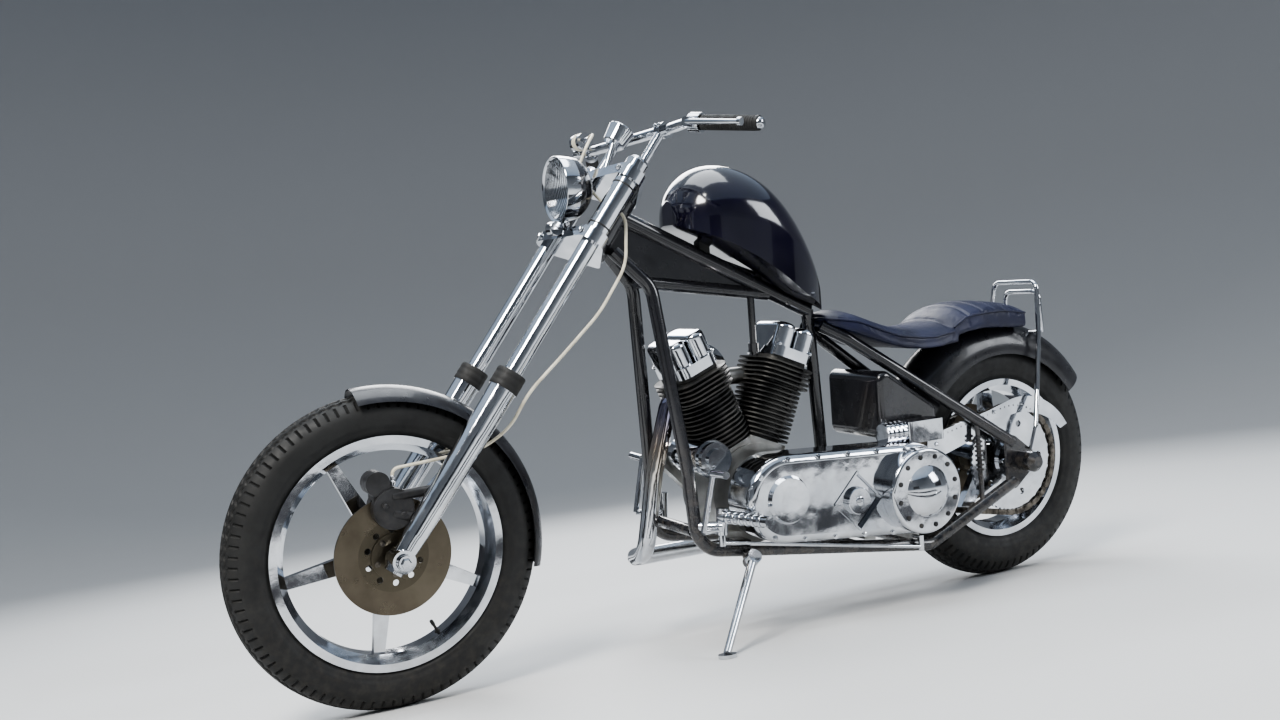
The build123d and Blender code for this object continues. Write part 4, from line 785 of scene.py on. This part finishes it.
def makeSeat():
    cover = plainCopy("seat", "seat_cover")
    voxels = cover.modifiers.new("work", "REMESH")
    voxels.mode = "VOXEL"
    voxels.voxel_size = seat["voxel"]
    soften = cover.modifiers.new("soften", "SMOOTH")
    soften.factor = 0.5
    soften.iterations = seat["soften"]
    bake(cover)
    before = readVerts(cover.data)
    under = (readVerts(cover.data, "normal") @ np.array(leanTurn))[:, 2] < seat["heldBelow"]
    held = cover.vertex_groups.new(name="held")
    held.add([int(i) for i in np.nonzero(under)[0]], 1.0, "REPLACE")
    cloth = cover.modifiers.new("work", "CLOTH")
    cloth.settings.vertex_group_mass = "held"
    cloth.settings.use_pressure = True
    cloth.settings.uniform_pressure_force = seat["pressure"]
    cloth.settings.effector_weights.gravity = 0.0
    cloth.settings.tension_stiffness = 20
    cloth.settings.bending_stiffness = 2
    cloth.collision_settings.use_collision = False
    for k in range(1, seat["frames"] + 1):
        bpy.context.scene.frame_set(k)
    bake(cover)
    bpy.context.scene.frame_set(1)
    moved = readVerts(cover.data) - before
    far = np.linalg.norm(moved, axis=1)
    share = np.minimum(1.0, seat["mostMove"] / np.maximum(far, 1e-9))
    writeVerts(cover.data, before + moved * share[:, None])
    print(f"seat: the cloth moved {far.max() * 1000:.1f} mm at most before the limit")
    finer = cover.modifiers.new("work", "SUBSURF")
    finer.levels = finer.render_levels = 1
    bake(cover)
    places = readVerts(cover.data)
    upright = uprightOf(places)
    normals = readVerts(cover.data, "normal")
    facing = (normals @ np.array(leanTurn))[:, 2]
    press = np.zeros(len(places))
    for x in seat["channels"]:
        press = np.maximum(press, np.clip(1 - np.abs(upright[:, 0] - x) / seat["channelHalf"], 0, 1) ** 1.5)
    press *= np.clip(facing * 2.5, 0, 1) * (upright[:, 0] > seat["channelsFrom"])
    places = places - normals * (press * seat["channelDepth"] / 1000)[:, None]
    writeVerts(cover.data, places)
    keepPiece(cover, "frame", "seat_blue", 0)
    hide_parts("seat")
    return cover


def weltPath(rows, acrossAt):
    # Along the right edge to acrossAt, across there and back along the left edge
    edge = [Vector(r) for r in rows]
    if acrossAt == 0:
        edge.reverse()
    path = []
    for a, b in zip(edge, edge[1:]):
        path += [a.lerp(b, k / 8) for k in range(8)]
    end = edge[-1]
    path.append(end)
    across = [Vector((end.x, end.y * (1 - k / 6), end.z)) for k in range(1, 12)]
    return path + across + [Vector((p.x, -p.y, p.z)) for p in reversed(path)]


cover = makeSeat()
work = bmesh.new()
work.from_mesh(cover.data)
skin = BVHTree.FromBMesh(work)
work.free()
for name, rows, acrossAt in (("saddle_welt", saddleRows, 0), ("pillion_welt", pillionRows, 1)):
    snapped = [skin.find_nearest(put(p)) for p in weltPath(rows, acrossAt)]
    tubePiece(name, [place + normal * 0.0012 for place, normal, _, _ in snapped], seat["piping"], "frame",
              "seat_blue")
report("seat")


def domeRows(base, radius, rise, steps):
    # From the edge of a round dome to its top, as (along, radius); a negative rise bulges the other way
    ball = (radius * radius + rise * rise) / (2 * abs(rise))
    turn = math.asin(min(1.0, radius / ball))
    sign = 1 if rise > 0 else -1
    return [(base + rise - sign * ball * (1 - math.cos(turn * (1 - k / steps))),
             max(0.3, ball * math.sin(turn * (1 - k / steps)))) for k in range(steps + 1)]


# Headlamp: chrome band, dark bowl, silver reflector, bulb shield, clear glass and its stalk
lamp = dict(at=(-1246, 0, 1112), band=30, reflectorDepth=50)
lampAxis = (1, 0, 0)
band = [(0, 70), (-4, 74), (-4.6, 75.2), (-3.6, 76), (10, 76), (lamp["band"], 73.6), (lamp["band"], 71.4),
        (4, 71.4), (4, 70)]
turnedPiece("headlamp_band", [(lamp["at"], lampAxis, band, True)], "fork", "chrome", 96)
outside = [(lamp["band"] + 0.4, 73.4), (42, 72)] + domeRows(42, 72, 42, 18)[1:]
inside = [(along - 2.0, max(0.3, radius - 1.2)) for along, radius in reversed(outside)]
turnedPiece("headlamp_bowl", [(lamp["at"], lampAxis, outside + inside, True)], "fork", "frame_black",
            96)
mirror = [(5 + lamp["reflectorDepth"] * (1 - (r / 70.6) ** 2), r)
          for r in (70.6, 64, 57, 50, 42, 34, 26, 18, 11, 6)]
mirror += [(along + 1.4, radius) for along, radius in reversed(mirror)]
turnedPiece("headlamp_reflector", [(lamp["at"], lampAxis, mirror, True)], "fork", "reflector", 96)
bulb = [(56, 0.3), (56, 5.5), (44, 6), (41, 9), (32, 11), (25, 9), (22, 4.5), (21, 0.3)]
turnedPiece("headlamp_bulb", [(lamp["at"], lampAxis, bulb, False)], "fork", "lens", 48)
stalkFoot = forkPoint(815, 0, -50.3)
stalkTop = Vector(lamp["at"]) + Vector((20, 0, -75))
stalkLong = (stalkTop - stalkFoot).length
stalkRows = [(0, 0.3), (0, 9), (22, 9), (25, 13), (34, 13), (37, 9), (stalkLong - 12, 9), (stalkLong - 9, 12),
             (stalkLong, 12), (stalkLong, 0.3)]
stalkParts = [
    (stalkFoot, stalkTop - stalkFoot, stalkRows, False),
    (stalkFoot, right, [(-15, 0.3), (-15, 15.5), (-13.5, 17), (13.5, 17), (15, 15.5), (15, 0.3)], False)]
stalkPiece = turnedPiece("headlamp_stalk", stalkParts, "fork", "chrome", 48)
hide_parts("headlamp")
glass = domeRows(0, 69.7, -11, 20) + list(reversed(domeRows(2.6, 68.5, -10.6, 20)))
glass += [(3.7, 68.7), (3.7, 69.7)]
glassPiece = turnedPiece("headlamp_glass", [(lamp["at"], lampAxis, glass, True)], "fork", "lens",
                         96, 60)
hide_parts("headlamp_lens")

# Speedometer: chrome cup on its stem, dark dial with plain ticks, needle and glass
gauge = dict(at=forkPoint(1067, 0, -34), ticks=25, sweep=250)
cup = [(0, 0.3), (0, 24), (3, 27), (38, 32.1), (42, 33), (44, 32), (44, 29.5), (39, 29), (39, 0.3)]
stemFoot = forkPoint(1000, 0, -16)
stem = gauge["at"] + forkUp * 2 - stemFoot
cupPiece = turnedPiece("speedometer_cup", [
    (gauge["at"], forkUp, cup, False),
    (stemFoot, stem, [(0, 0.3), (0, 8), (stem.length, 8), (stem.length, 0.3)], False)],
    "fork", "chrome", 72)
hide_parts("speedometer")
dial = [(39.1, 0.3), (39.1, 28.9), (39.8, 28.9), (39.8, 0.3)]
turnedPiece("speedometer_dial", [(gauge["at"], forkUp, dial, False)], "fork", "trim_black", 72)
pane = [(41.6, 0.3), (41.6, 29.4), (42.4, 29.4)] + domeRows(42.4, 29.4, 1.2, 6)[1:]
turnedPiece("speedometer_glass", [(gauge["at"], forkUp, pane, False)], "fork", "lens", 72, 60)


def addBlock(verts, faces, centre, u, v, w):
    start = len(verts)
    for a in (-1, 1):
        for b in (-1, 1):
            for c in (-1, 1):
                verts.append(put(centre + u * a + v * b + w * c))
    for f in ((0, 1, 3, 2), (4, 6, 7, 5), (0, 4, 5, 1), (2, 3, 7, 6), (0, 2, 6, 4), (1, 5, 7, 3)):
        faces.append(tuple(start + i for i in f))


verts, faces = [], []
sideWay = Vector(right)
topWay = forkUp.cross(sideWay)
for k in range(gauge["ticks"] + 1):
    isNeedle = k == gauge["ticks"]
    a = math.radians(90 + gauge["sweep"] / 2 - gauge["sweep"] * (k / (gauge["ticks"] - 1)))
    if isNeedle:
        a = math.radians(90 + gauge["sweep"] / 2)
    way = sideWay * math.cos(a) - topWay * math.sin(a)
    cross = forkUp.cross(way)
    # Half length, distance of its middle from the centre, half width and height over the dial of each mark
    if isNeedle:
        long, mid, wide, high = 11, 9, 0.7, 40.6
    elif k % 4 == 0:
        long, mid, wide, high = 2.8, 25, 0.5, 39.95
    else:
        long, mid, wide, high = 1.6, 25, 0.3, 39.95
    addBlock(verts, faces, gauge["at"] + forkUp * high + way * mid, way * long, cross * wide, forkUp * 0.15)
marks = meshPiece("speedometer_marks", verts, faces)
cleanMesh(marks)
keepPiece(marks, "fork", "dial_white", 30)

# Grips with ribs, each with a chrome knob at its end
grip = dict(start=34, end=6, radius=17.0, bore=13.1, pitch=6.0, land=3.6, groove=1.3, knob=13.4)
for sideName, side in (("left", -1), ("right", 1)):
    inner, outer = Vector((-1030, 262 * side, 1226)), Vector((-955, 415 * side, 1202))
    outward = (outer - inner).normalized()
    base = inner + outward * grip["start"]
    long = (outer - inner).length + grip["end"] - grip["start"]
    rows = [(0, grip["bore"]), (0, 16), (1, grip["radius"]), (7, grip["radius"]), (8, 16)]
    s = 10.0
    while s + grip["pitch"] < long - 8:
        rows += [(s, grip["radius"] - 0.3), (s + grip["land"], grip["radius"] - 0.3),
                 (s + grip["land"] + 0.5, grip["radius"] - grip["groove"]),
                 (s + grip["pitch"] - 0.5, grip["radius"] - grip["groove"])]
        s += grip["pitch"]
    rows += [(long - 6, 16.4), (long - 1, 16.2), (long, 15.2), (long, grip["bore"])]
    sleeve = turnedPiece(f"{sideName}_grip_sleeve", [(base, outward, rows, True)], "fork", "rubber",
                         56)
    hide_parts(f"grip_{sideName}")
    knob = [(0.1, 0.3), (0.1, grip["knob"]), (3, 12.9), (6, 11.2), (8.5, 8.6), (9.8, 4.5), (10, 0.3)]
    turnedPiece(f"{sideName}_grip_knob", [(base + outward * long, outward, knob, False)], "fork", "chrome",
                48)

# Rings, collars, lens, nuts, valve stems, clamps and small covers
forkRings, collars, pegRings, clampBolts = [], [], [], []
ringRows = [(-1.6, 26.05), (-1.6, 27.3), (1.6, 27.3), (1.6, 26.05)]
collarRows = [(418.5, 33.05), (420, 34), (428, 34.2), (431, 33.4), (434, 34.2), (444, 34.2), (447, 33.4),
              (450, 34.2), (458, 34), (460.6, 32.6), (460.6, 20.6), (459, 20.6), (459, 33.05)]
pegRing = dict(count=6, first=22, pitch=21,
               rows=((0, 13.05), (0, 14.6), (1, 15.2), (8, 15.2), (9, 14.6), (9, 13.05)))
for side in (-1, 1):
    for along in (845, 955):
        forkRings.append((forkPoint(along, legSide * side), forkUp, ringRows, True))
    collars.append((forkPoint(0, legSide * side), forkUp, collarRows, True))
    pegStart, pegEnd = Vector((-957, 150 * side, 324)), Vector((-919, 300 * side, 328))
    for k in range(pegRing["count"]):
        s = pegRing["first"] + pegRing["pitch"] * k
        rows = [(s + along, radius) for along, radius in pegRing["rows"]]
        pegRings.append((pegStart, pegEnd - pegStart, rows, True))
    for y in (-9, 9):
        clampBolts.append((forkPoint(1123, legSide * side + y, -5.0), -forkBack))
turnedPiece("fork_rings", forkRings, "fork", "rubber", 64)
turnedPiece("dust_collars", collars, "fork", "rubber", 72)
turnedPiece("peg_rings", pegRings, "frame", "chrome", 48)
boltPiece("clamp_bolts", "fork", clampBolts, 4.5, 4.5)
axleNuts = [((-1715, 158 * side, 345), (0, side, 0)) for side in (-1, 1)]
boltPiece("front_axle_nuts", "fork", axleNuts, 11.5, 8.0)
lensRows = [(-0.5, 0), (-0.5, 22.25), (0.6, 22.25), (6.25, 16.2), (6.25, 0)]
turnedPiece("tail_lens", [((90, 162, 316), (1, 0, 0), lensRows, False)], "frame", "lens_red", 48)
boltPiece("rear_axle_nut", "frame", [((0, 152, 330), right)], 12.0, 8.0)
boltPiece("calliper_bolts", "fork", [((-1731, -96, 458), left), ((-1694, -96, 436), left)], 6.0, 5.0,
          "trim_black")
boltPiece("rear_calliper_bolts", "frame", [((-130, 114, 352), right), ((-94, 114, 324), right)], 6.0, 5.0)
for name, centre, reach, spokeTurn, body in (("front", frontAxle, 222, -63, "front_wheel"),
                                             ("rear", rearAxle, 184, -18, "rear_wheel")):
    a = math.radians(spokeTurn)
    inward = Vector((-math.cos(a), 0, -math.sin(a)))
    valve = [(-0.5, 0.3), (-0.5, 7), (2, 6.4), (3, 3.4), (17, 3.2), (18, 4.4), (28, 4.2), (30, 3), (30, 0.3)]
    turnedPiece(f"{name}_valve", [(centre - inward * reach, inward, valve, False)], body, "rubber",
                24)
reservoir = (-1058, 256, 1250)
bandRows = [(-10, 21.05), (-9, 22.2), (9, 22.2), (10, 21.05)]
turnedPiece("reservoir_band", [(reservoir, right, bandRows, True)], "fork", "hose_cream", 56)
capRows = [(26.1, 0.3), (26.1, 20), (28, 20), (29, 17), (29, 0.3)]
turnedPiece("reservoir_cap", [(reservoir, right, capRows, False)], "fork", "trim_black", 56)
diamond = dict(at=Vector((-604, primaryFace, 318)), reach=72, lift=1.2, halfThick=1.4, halfWide=2.2)
inspection = [(0.1, 0.3), (0.1, 33), (2.6, 33), (4.2, 31), (4.2, 12), (6.2, 11), (8.4, 6), (8.4, 0.3)]
turnedPiece("inspection_cover", [(diamond["at"], left, inspection, False)], "frame", "chrome", 72)
verts, faces = [], []
tips = [Vector((x, 0, z)) * diamond["reach"] for x, z in ((1, 0), (0, 1), (-1, 0), (0, -1))]
for near, far in zip(tips, tips[1:] + tips[:1]):
    run = (far - near) / 2
    middle = diamond["at"] + Vector((0, -diamond["lift"], 0)) + (near + far) / 2
    wide = Vector((run.z, 0, -run.x)).normalized() * diamond["halfWide"]
    addBlock(verts, faces, middle, run, Vector((0, diamond["halfThick"], 0)), wide)
ridge = meshPiece("diamond_ridge", verts, faces)
cleanMesh(ridge)
keepPiece(ridge, "frame", "chrome", 30)
portRows = [(16, 22.1), (16, 26), (19, 27), (25, 27), (28, 26), (28, 22.1)]
portClamps = [((-932, 28, 612), (-43, 6, -22), portRows, True),
              ((-662, 40, 606), (50, 80, -20), portRows, True)]
turnedPiece("port_clamps", portClamps, "frame", "chrome", 56)

# Brake hose along the modelled route, its bends eased as a rubber hose takes them. Each corner is a
# distance behind the front axle, to the right of it and above it
hoseTable = ((657, 229, 905), (657, 176, 917), (607, 112, 881), (553, 62, 815), (565, -22, 735),
             (595, -96, 697), (563, -142, 581), (481, -162, 481), (383, -164, 395), (303, -154, 323),
             (273, -100, 245), (213, -78, 203), (95, -76, 193), (9, -77, 187), (9, -77, 152))
hoseLook = dict(radius=3.6, ease=34.0, share=0.46, steps=8)
corners = [frontAxle + Vector(place) for place in hoseTable]
hosePath = [corners[0]]
for before, here, after in zip(corners, corners[1:], corners[2:]):
    reach = min(hoseLook["share"] * (before - here).length, hoseLook["share"] * (after - here).length,
                hoseLook["ease"])
    start, end = here + (before - here).normalized() * reach, here + (after - here).normalized() * reach
    for k in range(hoseLook["steps"] + 1):
        t = k / hoseLook["steps"]
        hosePath.append(start * (1 - t) ** 2 + here * 2 * t * (1 - t) + end * t ** 2)
hosePath.append(corners[-1])
hosePiece = tubePiece("brake_hose_line", [put(p) for p in hosePath], hoseLook["radius"], "fork", "hose_cream")
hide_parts("brake_hose")
ferrule = [(0, 3.4), (0, 5.6), (9, 5.6), (10, 4.6), (20, 4.6), (21, 3.4)]
ferrules = [(corners[0], corners[1] - corners[0], ferrule, True),
            (corners[-1], corners[-2] - corners[-1], ferrule, True)]
turnedPiece("hose_ferrules", ferrules, "fork", "chrome", 24)
report("fittings")

# Stage: a pale round floor that curves up into its backdrop, soft lights and a graded sky
stageLook = dict(near=(0.64, 0.64, 0.635), far=(0.20, 0.205, 0.215), fade=(4.0, 10.5), radius=9.0, bend=2.4,
                 wall=4.0)
bend = stageLook["bend"]
flat = stageLook["radius"] - bend
rows = [(0.05, 0), (1.5, 0), (3, 0), (5, 0), (flat, 0)]
for degrees in range(6, 91, 6):
    a = math.radians(degrees)
    rows.append((flat + bend * math.sin(a), bend * (1 - math.cos(a))))
rows.append((stageLook["radius"], bend + stageLook["wall"]))
verts = []
steps = 96
for radius, height in rows:
    for k in range(steps):
        a = 2 * math.pi * k / steps
        verts.append((radius * math.cos(a), radius * math.sin(a), height))
floor = meshPiece("floor", verts, ringFaces(len(rows), steps, False) + [tuple(range(steps))])
cleanMesh(floor)
floor.data.shade_smooth()
floorMaterial, tree, shader, where = newMaterial("floor_pale")
tone = ramp(tree, remap(tree, distanceFrom(tree, where, (0, 0, 0)), *stageLook["fade"], (0.0, 1.0)),
            [(0.0, stageLook["near"]), (1.0, stageLook["far"])])
link(tree, tone, shader.inputs["Base Color"])
setInputs(shader, Roughness=0.75, Specular_IOR_Level=0.2)
floor.data.materials.append(floorMaterial)
floor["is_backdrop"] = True

world = bpy.data.worlds.new("sky")
bpy.context.scene.world = world
world.use_nodes = True
sky = world.node_tree
skyUp = addNode(sky, "ShaderNodeSeparateXYZ")
link(sky, addNode(sky, "ShaderNodeTexCoord").outputs["Generated"], skyUp.inputs[0])
skyTone = ramp(sky, remap(sky, skyUp.outputs["Z"], -1.0, 1.0, (0.0, 1.0)),
               [(0.0, (0.3, 0.3, 0.3)), (0.55, (0.30, 0.34, 0.40)), (0.75, (0.45, 0.55, 0.70)),
                (1.0, (0.8, 0.9, 1.0))])
link(sky, skyTone, sky.nodes["Background"].inputs["Color"])
setInputs(sky.nodes["Background"], Strength=0.8)

# Dark cards that only reflections see: they give the chrome its dark lines, as cards do in a studio
cardMaterial, tree, shader, where = newMaterial("card_dark")
tone = ramp(tree, noiseOf(tree, where, 1.5, 3), [(0.3, (0.01, 0.01, 0.012)), (0.7, (0.03, 0.03, 0.035))])
link(tree, tone, shader.inputs["Base Color"])
setInputs(shader, Roughness=0.9)
# Angle round the motorcycle, distance, width, lowest and highest edge of each card
cardRows = ((-115, 4.2, 1.6, 0.25, 1.0), (-35, 4.6, 2.0, 0.25, 1.1), (40, 4.4, 1.8, 0.3, 1.2),
            (110, 4.4, 2.0, 0.3, 1.3), (175, 4.6, 2.2, 0.25, 1.2))
# Strips laid along the floor: nearest and farthest edge of each, sideways from the motorcycle
stripRows = ((-0.62, -0.80), (-1.15, -1.75), (0.75, 1.0), (1.4, 2.0))
up = Vector((0, 0, 1))
cards = []
for angle, far, width, low, high in cardRows:
    a = math.radians(angle)
    middle = Vector((math.cos(a), math.sin(a), 0)) * far
    across = Vector((-math.sin(a), math.cos(a), 0)) * width / 2
    cards.append([middle + across * s + up * h for s, h in ((-1, low), (1, low), (1, high), (-1, high))])
strip = dict(half=1.6, high=0.004)
for near, far in stripRows:
    spread = ((-1, near), (1, near), (1, far), (-1, far))
    cards.append([(strip["half"] * s, y, strip["high"]) for s, y in spread])
for k, edges in enumerate(cards):
    card = meshPiece(f"card_{k}", edges, [(0, 1, 2, 3)])
    card.data.materials.append(cardMaterial)
    card.visible_camera = card.visible_shadow = card.visible_diffuse = False
    card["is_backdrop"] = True

# Place, target, size, watts and colour of each light
lightRows = (
    ("key", (-3.4, -2.6, 4.4), (-0.1, 0.0, 0.5), 1.8, 330, (1.0, 0.97, 0.92)),
    ("side", (3.8, -3.4, 2.4), (0.3, 0.0, 0.5), 2.2, 110, (0.93, 0.96, 1.0)),
    ("back", (1.5, 4.2, 4.0), (0.0, 0.0, 0.6), 3.0, 200, (1.0, 1.0, 1.0)),
    ("top", (0.0, 0.2, 4.6), (0.0, 0.0, 0.4), 3.0, 120, (0.92, 0.96, 1.0)),
)
for name, place, target, size, watts, colour in lightRows:
    data = bpy.data.lights.new(name, "AREA")
    data.size = size
    data.energy = watts
    data.color = colour
    light = newObject(name, data)
    light.location = place
    light.rotation_euler = (Vector(target) - Vector(place)).to_track_quat("-Z", "Y").to_euler()

# Camera where the photograph was taken from
shot = dict(place=(-2382.07, -2632.09, 897.22), forward=(0.447, 0.892, -0.067), up=(0.095, 0.027, 0.995),
            lens=34.68)
forward = aim(shot["forward"])
rightWay = forward.cross(aim(shot["up"])).normalized()
upWay = rightWay.cross(forward)
cameraData = bpy.data.cameras.new("camera")
cameraData.lens = shot["lens"]
cameraData.sensor_width = 36
cameraData.clip_start, cameraData.clip_end = 0.05, 60
camera = newObject("camera", cameraData)
turn = Matrix((rightWay, upWay, -forward)).transposed().to_4x4()
camera.matrix_world = Matrix.Translation(put(shot["place"])) @ turn
bpy.context.scene.camera = camera
report("stage")

bpy.context.scene.view_settings.look = "AgX - Medium High Contrast"
writeSize("final")
